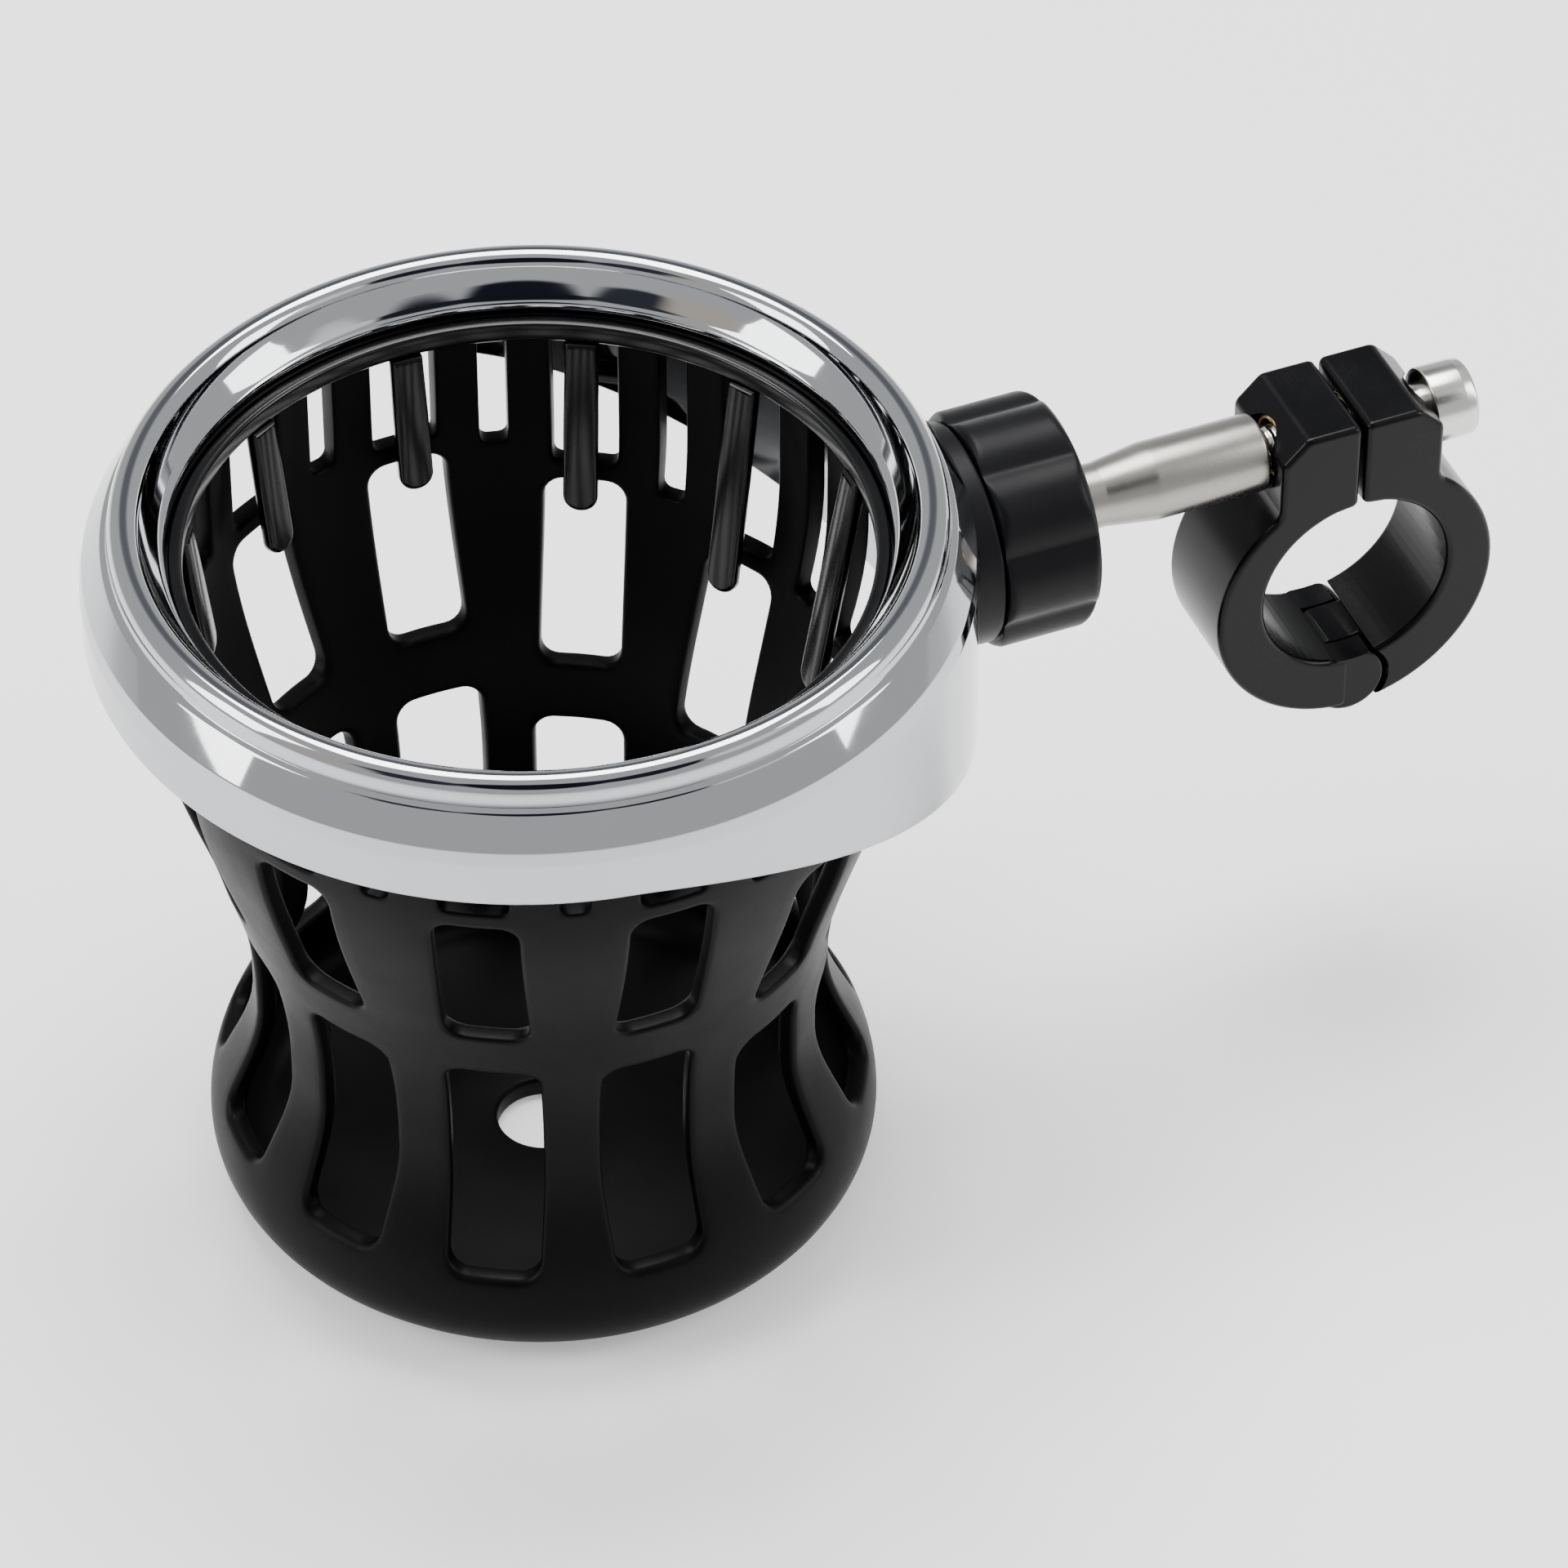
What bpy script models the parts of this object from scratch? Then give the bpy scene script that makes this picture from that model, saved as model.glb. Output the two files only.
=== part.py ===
"""Clamp-on cup holder: chromed rim, black basket with grip fingers, ball socket and a hinged bar clamp.

Run with: blender --background --python part.py
Units are metres, +Z is up, the holder stands on Z = 0 and the mount points along +X.
Lengths in the constants are millimetres and are turned into metres by MM.
"""

import math

import bmesh
import bpy

MM = 0.001

# Overall
HEIGHT = 105.0  # base to top of the rim
FIT = 0.3  # clearance between neighbouring pieces

# Rim ring
RIM_R = 54.0  # outside of the skirt
RIM_WALL = 2.2
BEAD_R = 48.3  # middle of the round bead on top
BEAD_TUBE = 2.0
LIP_R = 43.6  # mouth, 87 mm across
LIP_UNDERSIDE = 6.4  # below the top, beside the mouth
RIM_UNDERSIDE = 8.6  # below the top, over the screws
LIP_SEAT_R = 46.0  # where one underside steps down to the other
SKIRT_EDGE = 15.5  # below the top, on the side away from the mount
SKIRT_DIP = 23.0  # how much deeper the skirt reaches at the mount
RIM_STEPS = 48

# Basket
NECK_R = 46.4
WAIST_R = 36.0
FOOT_R = 42.2
WALL = 2.8
NECK_END, WAIST_START, WAIST_END, FOOT_TOP = 22.0, 72.0, 76.0, 97.0  # all below the top
FOOT_ROUND = 8.0
FLOOR = 3.0
DRAIN_R = 6.0
FLANGE_R = 51.4
FLANGE_T = 2.0
BASKET_STEPS = 36

# Windows in the basket
WINDOWS = 12
PITCH = 2 * math.pi / WINDOWS
WINDOW_W, LOWER_WINDOW_W = 10.4, 11.4
WINDOW_CORNER = 2.4
WINDOW_TOP, WINDOW_SILL = 27.0, 51.0
LOWER_TOP, LOWER_SILL = 59.0, 91.0
TOP_DIP, SILL_DIP = 14.0, 15.0  # how much lower they lie at the mount
SLOT_TOP = 9.6
SLOT_W = 3.6  # between the windows
FINGER_GAP_W = 8.4  # behind a finger
LINTEL = 2.6  # wall kept above each window

# Grip fingers and the hoop they hang from
FINGER_W, FINGER_T = 4.4, 1.9
FINGER_ROOT = 10.0
FINGER_OVER = 1.5  # reach below the top of the window
FINGER_LEAN = 7.0  # degrees, for a finger on the side away from the mount
MORE_LEAN = 3.0  # extra degrees where the windows and fingers reach lowest
HOOP_R, HOOP_T, HOOP_H = 43.25, 1.7, 2.8

# Rim screws and brass inserts
SCREW_RING_R = 49.05
SCREW_ANGLES = (45, 135, 225, 315)
INSERT_R, INSERT_BORE, INSERT_H, INSERT_HOLE = 2.3, 1.6, 2.9, 3.4
RIM_SCREW_R, RIM_SCREW_HEAD, RIM_SCREW_LENGTH = 1.3, 2.3, 4.9

# Ball socket on the skirt
MOUNT_DOWN = 23.3  # below the top
SOCKET_BACK = RIM_R + FIT
FLANGE_FRONT = 56.6
SOCKET_FLANGE_R = 14.0
SPIGOT_R = 11.4
SPIGOT_END = 64.7
BALL_X = 64.4
BALL_R = 7.5
BALL_PLAY = 0.25
SEAT_R = 9.4
SEAT_BACK = 55.6
COMPRESSION_R = 11.2
COMPRESSION = (65.0, 67.8)
NUT_R = 15.0
NUT_LOBES = 8
NUT_FLUTE = 0.9
NUT = (56.9, 69.6)
NUT_WALL = 1.5
NUT_MOUTH_R = 7.4
SOCKET_SCREW_Y = 9.0

# Ball stud
NECK_STUD_R = 4.1
STUD_END_R = 5.0
STUD_LENGTH = 32.0
THREAD_DEPTH = 12.0
STUD_BORE = 3.25

# Bar clamp
BAR_R = 12.7  # 25.4 mm bar
CLAMP_W = 15.0
BAND_R = 19.0
BAND_SHIFT = 1.6  # the band grows thicker towards its hinge
BAR_DROP = 19.5  # screw axis to bar centre
EAR_T = 10.8
EAR_RISE = 6.0
EAR_CHAMFER = 3.4
SPLIT = 0.6
HINGE_DROP = 36.0  # screw axis to hinge axis
CHEEK_R, TONGUE_R, NUB_R = 4.8, 4.1, 1.6
TONGUE_W = 6.8
BORE_R, BUSH_BORE_R = 4.5, 3.6
SCREW_R, HEAD_R, HEAD_H, SCREW_LENGTH = 3.0, 5.0, 6.0, 30.0
KEY_R, KEY_DEPTH = 2.9, 3.2  # hexagon socket, corner radius and depth

STUD_END_X = BALL_X + STUD_LENGTH
INNER_EAR = (STUD_END_X + FIT, STUD_END_X + FIT + EAR_T)
OUTER_EAR = (INNER_EAR[1] + SPLIT, INNER_EAR[1] + SPLIT + EAR_T)
CLAMP_X = INNER_EAR[1] + SPLIT / 2
HEAD_START = OUTER_EAR[1] + FIT
HEAD_END = HEAD_START + HEAD_H
MOUNT_Z = HEIGHT - MOUNT_DOWN
BAR_Z = MOUNT_Z - BAR_DROP
HINGE_Z = MOUNT_Z - HINGE_DROP
FOOTPRINT_MID_X = (CLAMP_X + BAND_R - RIM_R) / 2


def clear_scene():
    for obj in list(bpy.data.objects):
        bpy.data.objects.remove(obj, do_unlink=True)


def make_collection(name):
    made = bpy.data.collections.new(name)
    bpy.context.scene.collection.children.link(made)
    return made


def make_material(name, colour, roughness, metallic=0.0):
    made = bpy.data.materials.new(name)
    made.use_nodes = True
    shader = made.node_tree.nodes["Principled BSDF"]
    shader.inputs["Base Color"].default_value = (*colour, 1.0)
    shader.inputs["Roughness"].default_value = roughness
    shader.inputs["Metallic"].default_value = metallic
    return made


clear_scene()
PARTS = make_collection("clamp_cup_holder")
CUTTERS = make_collection("cutters")
FRAME = bpy.data.objects.new("holder_frame", None)
FRAME.location = (-FOOTPRINT_MID_X * MM, 0, 0)
PARTS.objects.link(FRAME)

CHROME = make_material("chrome", (0.72, 0.73, 0.75), 0.06, 1.0)
BASKET_BLACK = make_material("satin_black_plastic", (0.017, 0.017, 0.018), 0.42)
GRIP_BLACK = make_material("gloss_black_grip", (0.012, 0.012, 0.013), 0.28)
KNOB_BLACK = make_material("black_nylon", (0.024, 0.024, 0.027), 0.36)
CLAMP_BLACK = make_material("black_glass_nylon", (0.02, 0.02, 0.021), 0.3)
NICKEL = make_material("satin_nickel", (0.33, 0.31, 0.29), 0.32, 1.0)
BRASS = make_material("brass", (0.62, 0.40, 0.16), 0.3, 1.0)
STEEL = make_material("bright_steel", (0.55, 0.54, 0.52), 0.25, 1.0)
ACETAL = make_material("white_acetal", (0.75, 0.74, 0.7), 0.4)


def below_top(distance):
    """Height in the holder's frame of a level given as its distance below the top of the rim."""
    return HEIGHT - distance


def place(obj, location=(0, 0, 0), rotation=(0, 0, 0), material=None, cutter=False):
    """Puts an object under the holder's frame, at a place in millimetres."""
    obj.parent = FRAME
    obj.location = [value * MM for value in location]
    obj.rotation_euler = rotation
    (CUTTERS if cutter else PARTS).objects.link(obj)
    if cutter:
        obj.hide_render = True
        obj.display_type = "WIRE"
    if material:
        obj.data.materials.append(material)
    return obj


def scaled(points):
    return [tuple(value * MM for value in point) for point in points]


ALONG_X = (0, math.pi / 2, 0)  # a turned piece's own Z lies along the mount axis
ALONG_Y = (math.pi / 2, 0, 0)  # an outline's own normal lies along the bar


def shade(mesh):
    mesh.shade_smooth()
    mesh.set_sharp_from_angle(angle=math.radians(35))


def turned(name, profile, steps, closed=True, **placing):
    """A turned piece from (radius, height) points that run down the outside and back up the inside."""
    bm = bmesh.new()
    corners = [bm.verts.new((r, 0, z)) for r, z in scaled(profile)]
    for first, second in zip(corners, corners[1:]):
        bm.edges.new((first, second))
    if closed:
        bm.edges.new((corners[-1], corners[0]))
    mesh = bpy.data.meshes.new(name)
    bm.to_mesh(mesh)
    bm.free()
    obj = bpy.data.objects.new(name, mesh)
    screw = obj.modifiers.new("turn", "SCREW")
    screw.steps = steps
    screw.render_steps = steps
    screw.use_merge_vertices = True
    screw.merge_threshold = 0.00001
    screw.use_smooth_shade = True
    return place(obj, **placing)


def block(name, low, high, corner=0.0, corner_axis=0, **placing):
    """A box between two corners, with the edges along one axis rounded."""
    bm = bmesh.new()
    bmesh.ops.create_cube(bm, size=1)
    middle = [(a + b) / 2 * MM for a, b in zip(low, high)]
    size = [(b - a) * MM for a, b in zip(low, high)]
    for vert in bm.verts:
        vert.co = [m + s * c for m, s, c in zip(middle, size, vert.co)]
    if corner:
        others = [axis for axis in range(3) if axis != corner_axis]
        edges = [
            edge
            for edge in bm.edges
            if all(abs(edge.verts[0].co[axis] - edge.verts[1].co[axis]) < 1e-7 for axis in others)
        ]
        bmesh.ops.bevel(bm, geom=edges, offset=corner * MM, segments=2, profile=0.5, affect="EDGES")
    mesh = bpy.data.meshes.new(name)
    bm.to_mesh(mesh)
    bm.free()
    return place(bpy.data.objects.new(name, mesh), **placing)


def rod(name, radius, length, sides=32, **placing):
    """A cylinder from its origin along its own Z."""
    bm = bmesh.new()
    bmesh.ops.create_cone(
        bm, cap_ends=True, segments=sides, radius1=radius * MM, radius2=radius * MM, depth=length * MM
    )
    bmesh.ops.translate(bm, verts=bm.verts, vec=(0, 0, length / 2 * MM))
    mesh = bpy.data.meshes.new(name)
    bm.to_mesh(mesh)
    bm.free()
    return place(bpy.data.objects.new(name, mesh), **placing)


def plate(name, outline, thickness, **placing):
    """A flat outline given thickness, half to each side of its plane."""
    curve = bpy.data.curves.new(name, "CURVE")
    curve.dimensions = "2D"
    curve.fill_mode = "BOTH"
    curve.extrude = thickness / 2 * MM
    spline = curve.splines.new("POLY")
    spline.points.add(len(outline) - 1)
    for point, (x, y) in zip(spline.points, scaled(outline)):
        point.co = (x, y, 0, 1)
    spline.use_cyclic_u = True
    drawn = bpy.data.objects.new(name + "_outline", curve)
    bpy.context.scene.collection.objects.link(drawn)
    graph = bpy.context.evaluated_depsgraph_get()
    mesh = bpy.data.meshes.new_from_object(drawn.evaluated_get(graph))
    bpy.data.objects.remove(drawn, do_unlink=True)
    bm = bmesh.new()
    bm.from_mesh(mesh)
    bmesh.ops.remove_doubles(bm, verts=bm.verts, dist=0.000001)
    bmesh.ops.recalc_face_normals(bm, faces=bm.faces)
    bm.to_mesh(mesh)
    bm.free()
    mesh.name = name
    return place(bpy.data.objects.new(name, mesh), **placing)


def joined(name, objects):
    """One cutter made of several that don't touch."""
    bm = bmesh.new()
    for obj in objects:
        bpy.context.view_layer.update()
        start = len(bm.verts)
        bm.from_mesh(obj.data)
        bm.verts.ensure_lookup_table()
        for vert in bm.verts[start:]:
            vert.co = obj.matrix_local @ vert.co
        bpy.data.objects.remove(obj, do_unlink=True)
    mesh = bpy.data.meshes.new(name)
    bm.to_mesh(mesh)
    bm.free()
    return place(bpy.data.objects.new(name, mesh), cutter=True)


def combine(obj, other, operation="DIFFERENCE"):
    step = obj.modifiers.new(operation.lower() + "_" + other.name, "BOOLEAN")
    step.operation = operation
    step.object = other
    step.solver = "EXACT"


def arc(centre, radius, start, end, count):
    """Points on a circle, angles in degrees from +X towards +Z."""
    angles = [math.radians(start + (end - start) * i / count) for i in range(count + 1)]
    return [(centre[0] + radius * math.cos(a), centre[1] + radius * math.sin(a)) for a in angles]


def dip_share(across):
    """0 away from the mount and 1 at it: how far the skirt's edge and the windows drop."""
    return (max(0.0, across + 0.148) / 1.148) ** 1.6


def rim_ring():
    bead = (BEAD_R, below_top(BEAD_TUBE))
    shoulder = (RIM_R - 3.0, below_top(7.0))
    profile = [(RIM_R, below_top(9.5))]
    profile += [(RIM_R, below_top(SKIRT_EDGE + SKIRT_DIP + 2))]
    profile += [(RIM_R - RIM_WALL, below_top(SKIRT_EDGE + SKIRT_DIP + 2))]
    profile += [(RIM_R - RIM_WALL, below_top(RIM_UNDERSIDE))]
    profile += [(LIP_SEAT_R, below_top(RIM_UNDERSIDE)), (LIP_SEAT_R, below_top(LIP_UNDERSIDE))]
    profile += [(LIP_R + 0.5, below_top(LIP_UNDERSIDE))]
    profile += arc((LIP_R + 0.7, below_top(5.5)), 0.7, 200, 130, 2)
    profile += arc(bead, BEAD_TUBE, 170, -10, 6)
    profile += [(BEAD_R + BEAD_TUBE + 0.1, below_top(3.1)), (shoulder[0] + 1.0, below_top(3.9))]
    profile += [(RIM_R - 0.7, below_top(6.3))]
    ring = turned("rim_ring", profile, RIM_STEPS, material=CHROME)
    lowest, reach = 60.0, RIM_R + 4
    xs = [-reach + 2 * reach * i / 28 for i in range(29)]
    edge = [(x, below_top(SKIRT_EDGE + SKIRT_DIP * dip_share(x / RIM_R))) for x in xs]
    outline = edge + [(reach, below_top(lowest)), (-reach, below_top(lowest))]
    combine(ring, plate("skirt_cutter", outline, 3 * RIM_R, rotation=ALONG_Y, cutter=True))
    holes = [
        rod(
            f"insert_hole_{angle}", INSERT_R + 0.2, INSERT_HOLE + 1, 20, cutter=True,
            location=ring_place(angle, below_top(RIM_UNDERSIDE + 1)),
        )
        for angle in SCREW_ANGLES
    ]
    holes += [
        rod(f"socket_screw_hole_{side}", 2.0, 12, 16, cutter=True, location=(46, side, MOUNT_Z), rotation=ALONG_X)
        for side in (-SOCKET_SCREW_Y, SOCKET_SCREW_Y)
    ]
    combine(ring, joined("rim_holes", holes))


def ring_place(angle, height, radius=SCREW_RING_R):
    turn = math.radians(angle)
    return (radius * math.cos(turn), radius * math.sin(turn), height)


def swell(start, end, low, high):
    """Levels and radii of a smooth S-shaped stretch of the basket's side."""
    count = 5
    steps = [i / count for i in range(1, count + 1)]
    return [
        (low + (high - low) * (1 - math.cos(math.pi * t)) / 2, below_top(start + (end - start) * t))
        for t in steps
    ]


def basket_profile():
    side = [(NECK_R, below_top(NECK_END))]
    side += swell(NECK_END, WAIST_START, NECK_R, WAIST_R)
    side += [(WAIST_R, below_top(WAIST_END))]
    side += swell(WAIST_END, FOOT_TOP, WAIST_R, FOOT_R)
    foot = (FOOT_R - FOOT_ROUND, below_top(FOOT_TOP))
    rim = below_top(LIP_UNDERSIDE + FIT)
    top = below_top(RIM_UNDERSIDE + FIT)
    step = LIP_SEAT_R - FIT
    outside = [(step, rim), (step, top), (FLANGE_R, top), (FLANGE_R, top - FLANGE_T)]
    outside += [(NECK_R, top - FLANGE_T)]
    outside += side + arc(foot, FOOT_ROUND, 0, -90, 4)[1:] + [(DRAIN_R, 0)]
    inside = [(DRAIN_R, FLOOR)] + arc(foot, FOOT_ROUND - FLOOR, -90, 0, 3)[:-1]
    inside += [(radius - WALL, height) for radius, height in reversed(side)]
    return outside + inside + [(NECK_R - WALL, rim)]


def window_cutters():
    """Windows of both tiers and the slots between them."""
    made = []
    for number in range(WINDOWS):
        turn = number * PITCH
        share = dip_share(math.cos(turn))
        top = below_top(WINDOW_TOP + TOP_DIP * share)
        sill = below_top(WINDOW_SILL + SILL_DIP * share)
        lower_top = below_top(LOWER_TOP + SILL_DIP * share)
        half, lower_half = WINDOW_W / 2, LOWER_WINDOW_W / 2
        rounding = {"corner": WINDOW_CORNER, "corner_axis": 0, "rotation": (0, 0, turn), "cutter": True}
        made.append(block(f"window_{number}", (26, -half, sill), (60, half, top), **rounding))
        low, high = (26, -lower_half, below_top(LOWER_SILL)), (60, lower_half, lower_top)
        made.append(block(f"lower_window_{number}", low, high, **rounding))
        between = turn + PITCH / 2
        depth = below_top(WINDOW_TOP + TOP_DIP * dip_share(math.cos(between)) - LINTEL)
        low, high = (36, -SLOT_W / 2, depth), (NECK_R + 0.5, SLOT_W / 2, below_top(SLOT_TOP))
        made.append(
            block(f"slot_{number}", low, high, 1.2, 0, rotation=(0, 0, between), cutter=True)
        )
    return joined("window_cutters", made)


def finger_gap_cutters():
    made = []
    for number in range(WINDOWS):
        turn = number * PITCH
        top = below_top(WINDOW_TOP + TOP_DIP * dip_share(math.cos(turn)) - LINTEL)
        low, high = (36, -FINGER_GAP_W / 2, top), (50.5, FINGER_GAP_W / 2, below_top(SLOT_TOP))
        made.append(
            block(f"finger_gap_{number}", low, high, 1.2, 0, rotation=(0, 0, turn), cutter=True)
        )
    for angle in SCREW_ANGLES:
        hole = ring_place(angle, below_top(RIM_UNDERSIDE + 4.0))
        made.append(rod(f"flange_hole_{angle}", 1.7, 5, 16, location=hole, cutter=True))
    return joined("finger_gap_cutters", made)


def basket():
    body = turned("basket", basket_profile(), BASKET_STEPS, material=BASKET_BLACK)
    combine(body, window_cutters())
    combine(body, finger_gap_cutters())


def grip_hoop():
    top = below_top(LIP_UNDERSIDE + FIT)
    inner = HOOP_R - HOOP_T
    profile = [(HOOP_R, top), (HOOP_R, top - HOOP_H), (inner, top - HOOP_H), (inner, top)]
    turned("grip_hoop", profile, BASKET_STEPS, material=GRIP_BLACK)


def grip_fingers():
    """Sprung fingers that hang from the hoop, lean inwards and press on the cup."""
    for number in range(WINDOWS):
        turn = number * PITCH
        share = dip_share(math.cos(turn))
        tip = WINDOW_TOP + TOP_DIP * share + FINGER_OVER
        lean = math.radians(FINGER_LEAN + MORE_LEAN * share)
        length = tip - FINGER_ROOT
        half = FINGER_W / 2
        outline = [(-half, 0), (-half, -length + half)]
        outline += [
            (half * math.cos(a), -length + half + half * math.sin(a))
            for a in [math.radians(180 + 30 * i) for i in range(1, 6)]
        ]
        outline += [(half, -length + half), (half, 0)]
        rotation = (math.pi / 2 + lean, 0, turn + math.pi / 2)
        middle = HOOP_R - HOOP_T / 2 - 0.2
        spot = ring_place(math.degrees(turn), below_top(FINGER_ROOT), middle)
        plate(
            f"grip_finger_{number + 1:02d}", outline, FINGER_T,
            location=spot, rotation=rotation, material=GRIP_BLACK,
        )


def rim_fasteners():
    """Screws that come up through the basket's flange into brass inserts in the rim."""
    underside = below_top(RIM_UNDERSIDE)
    head = underside - 2 * FIT - FLANGE_T
    sleeve = [(INSERT_R, INSERT_H), (INSERT_R, 0), (INSERT_BORE, 0), (INSERT_BORE, INSERT_H)]
    screw = [(0, RIM_SCREW_LENGTH), (RIM_SCREW_R, RIM_SCREW_LENGTH), (RIM_SCREW_R, 0)]
    screw += [(RIM_SCREW_HEAD, 0), (RIM_SCREW_HEAD, -1.0), (1.6, -1.7), (0, -1.7)]
    for number, angle in enumerate(SCREW_ANGLES, 1):
        spot = ring_place(angle, underside + 0.2)
        turned(f"rim_insert_{number}", sleeve, 20, location=spot, material=BRASS)
        spot = ring_place(angle, head)
        turned(f"rim_screw_{number}", screw, 16, closed=False, location=spot, material=STEEL)


def socket_body():
    """Flange against the skirt, threaded spigot and the cup for the ball seat."""
    wall, back = SEAT_R + FIT, SOCKET_BACK - 3
    profile = [(0, SEAT_BACK - FIT), (wall, SEAT_BACK - FIT), (wall, SPIGOT_END), (SPIGOT_R, SPIGOT_END)]
    profile += [(SPIGOT_R, FLANGE_FRONT), (SOCKET_FLANGE_R, FLANGE_FRONT), (SOCKET_FLANGE_R, back), (0, back)]
    placing = {"location": (0, 0, MOUNT_Z), "rotation": ALONG_X}
    body = turned("socket_body", profile, 36, closed=False, material=KNOB_BLACK, **placing)
    combine(body, rod("skirt_form", SOCKET_BACK, 60, 96, location=(0, 0, MOUNT_Z - 30), cutter=True))
    holes = [
        rod(f"socket_pilot_{side}", 1.45, 8.3, 16, location=(48, side, MOUNT_Z), rotation=ALONG_X, cutter=True)
        for side in (-SOCKET_SCREW_Y, SOCKET_SCREW_Y)
    ]
    combine(body, joined("socket_pilots", holes))


def socket_screws():
    profile = [(0, 3.9), (1.2, 3.9), (1.2, 0), (3.0, 0), (2.4, -1.6), (0, -1.6)]
    for number, side in enumerate((-SOCKET_SCREW_Y, SOCKET_SCREW_Y), 1):
        seat = math.sqrt((RIM_R - RIM_WALL) ** 2 - (abs(side) + 3) ** 2) - FIT
        turned(
            f"socket_screw_{number}", profile, 20, closed=False,
            location=(seat, side, MOUNT_Z), rotation=ALONG_X, material=STEEL,
        )


def sphere_profile(radius, start, end, count):
    """Points on the ball's own circle as (radius, position along the axis), angles from the axis."""
    angles = [math.radians(start + (end - start) * i / count) for i in range(count + 1)]
    return [(radius * math.sin(a), radius * math.cos(a)) for a in angles]


def ball_pieces():
    """Seat, compression ring, nut and stud, all turned about the mount axis with the ball at the origin."""
    placing = {"location": (BALL_X, 0, MOUNT_Z), "rotation": ALONG_X}
    hollow = BALL_R + BALL_PLAY
    seat = sphere_profile(hollow, 180, 90, 6)
    seat += [(SEAT_R, 0), (SEAT_R, SEAT_BACK - BALL_X), (0, SEAT_BACK - BALL_X)]
    turned("ball_seat", seat, 32, closed=False, material=ACETAL, **placing)

    back, front = (value - BALL_X for value in COMPRESSION)
    back_angle = math.degrees(math.acos(back / hollow))
    front_angle = math.degrees(math.acos(front / hollow))
    ring = [(COMPRESSION_R, front), (COMPRESSION_R, back)]
    ring += sphere_profile(hollow, back_angle, front_angle, 3)
    turned("compression_ring", ring, 32, material=ACETAL, **placing)

    neck = math.degrees(math.asin(NECK_STUD_R / BALL_R))
    bottom = STUD_LENGTH - THREAD_DEPTH
    stud = [(0, bottom), (STUD_BORE, bottom), (STUD_BORE, STUD_LENGTH), (STUD_END_R - 0.5, STUD_LENGTH)]
    stud += [(STUD_END_R, STUD_LENGTH - 0.5), (STUD_END_R, STUD_LENGTH - 15)]
    stud += [(NECK_STUD_R + 0.2, 11.5), (NECK_STUD_R, 9.0)]
    stud += sphere_profile(BALL_R, neck, 180, 10)
    turned("ball_stud", stud, 32, closed=False, material=NICKEL, **placing)


def collar_nut():
    """Fluted nut that screws onto the spigot and squeezes the ball."""
    outline = []
    count = NUT_LOBES * 8
    for i in range(count):
        turn = 2 * math.pi * i / count
        radius = NUT_R - NUT_FLUTE * (1 - abs(math.cos(NUT_LOBES * turn / 2)) ** 0.7) * 1.6
        outline.append((radius * math.cos(turn), radius * math.sin(turn)))
    length = NUT[1] - NUT[0]
    nut = plate(
        "collar_nut", outline, length,
        location=((NUT[0] + NUT[1]) / 2, 0, MOUNT_Z), rotation=ALONG_X, material=KNOB_BLACK,
    )
    inner = NUT[1] - NUT_WALL
    cavity = [(0, NUT[1] + 1), (NUT_MOUTH_R + 0.9, NUT[1] + 1), (NUT_MOUTH_R, NUT[1] - 0.6)]
    cavity += [(NUT_MOUTH_R, inner), (SPIGOT_R + FIT, inner), (SPIGOT_R + FIT, NUT[0] - 1), (0, NUT[0] - 1)]
    placing = {"location": (0, 0, MOUNT_Z), "rotation": ALONG_X}
    combine(nut, turned("nut_cavity", cavity, 40, closed=False, cutter=True, **placing))
    corners = [(NUT_R + 3, NUT[1] - 3.6), (NUT_R + 3, NUT[1] + 1), (NUT_R - 1.9, NUT[1] + 1)]
    corners += [(NUT_R - 1.9, NUT[1]), (NUT_R - 0.4, NUT[1] - 1.2)]
    combine(nut, turned("nut_corner", corners[::-1], 40, cutter=True, **placing))


def clamp_outline(side):
    """Ear in the plane of the band, seen along the bar; side is -1 for the half by the stud."""
    far = CLAMP_X + side * (SPLIT / 2 + EAR_T)
    near = CLAMP_X
    top = MOUNT_Z + EAR_RISE
    return [
        (near, top), (far - side * EAR_CHAMFER, top), (far, top - EAR_CHAMFER),
        (far, MOUNT_Z - 7.5), (far - side * 2.6, BAR_Z), (near, BAR_Z),
    ]


def about_bar(name, radius, width, height, sides, x=CLAMP_X):
    """A cylinder along the bar's direction, centred on the clamp's width."""
    return rod(name, radius, width, sides, location=(x, width / 2, height), rotation=ALONG_Y, cutter=True)


def clamp_half(name, side, finish):
    """One half of the band with its ear, cut square at the split."""
    origin = (0, 0, 0)
    half = plate(name, clamp_outline(side), CLAMP_W, location=origin, rotation=ALONG_Y, material=finish)
    combine(half, about_bar(name + "_band", BAND_R, CLAMP_W, BAR_Z - BAND_SHIFT, 48), "UNION")
    near = CLAMP_X + side * SPLIT / 2
    far = near - side * 40
    low, high = (min(near, far), -20, HINGE_Z - 30), (max(near, far), 20, MOUNT_Z + 30)
    combine(half, block(name + "_split", low, high, cutter=True))
    return half


def clamp_bores(half, name):
    combine(half, about_bar(name + "_bar", BAR_R, CLAMP_W + 4, BAR_Z, 48))
    bore = rod(name + "_bore", BORE_R, 40, 28, location=(CLAMP_X - 20, 0, MOUNT_Z), rotation=ALONG_X, cutter=True)
    combine(half, bore)


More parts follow.
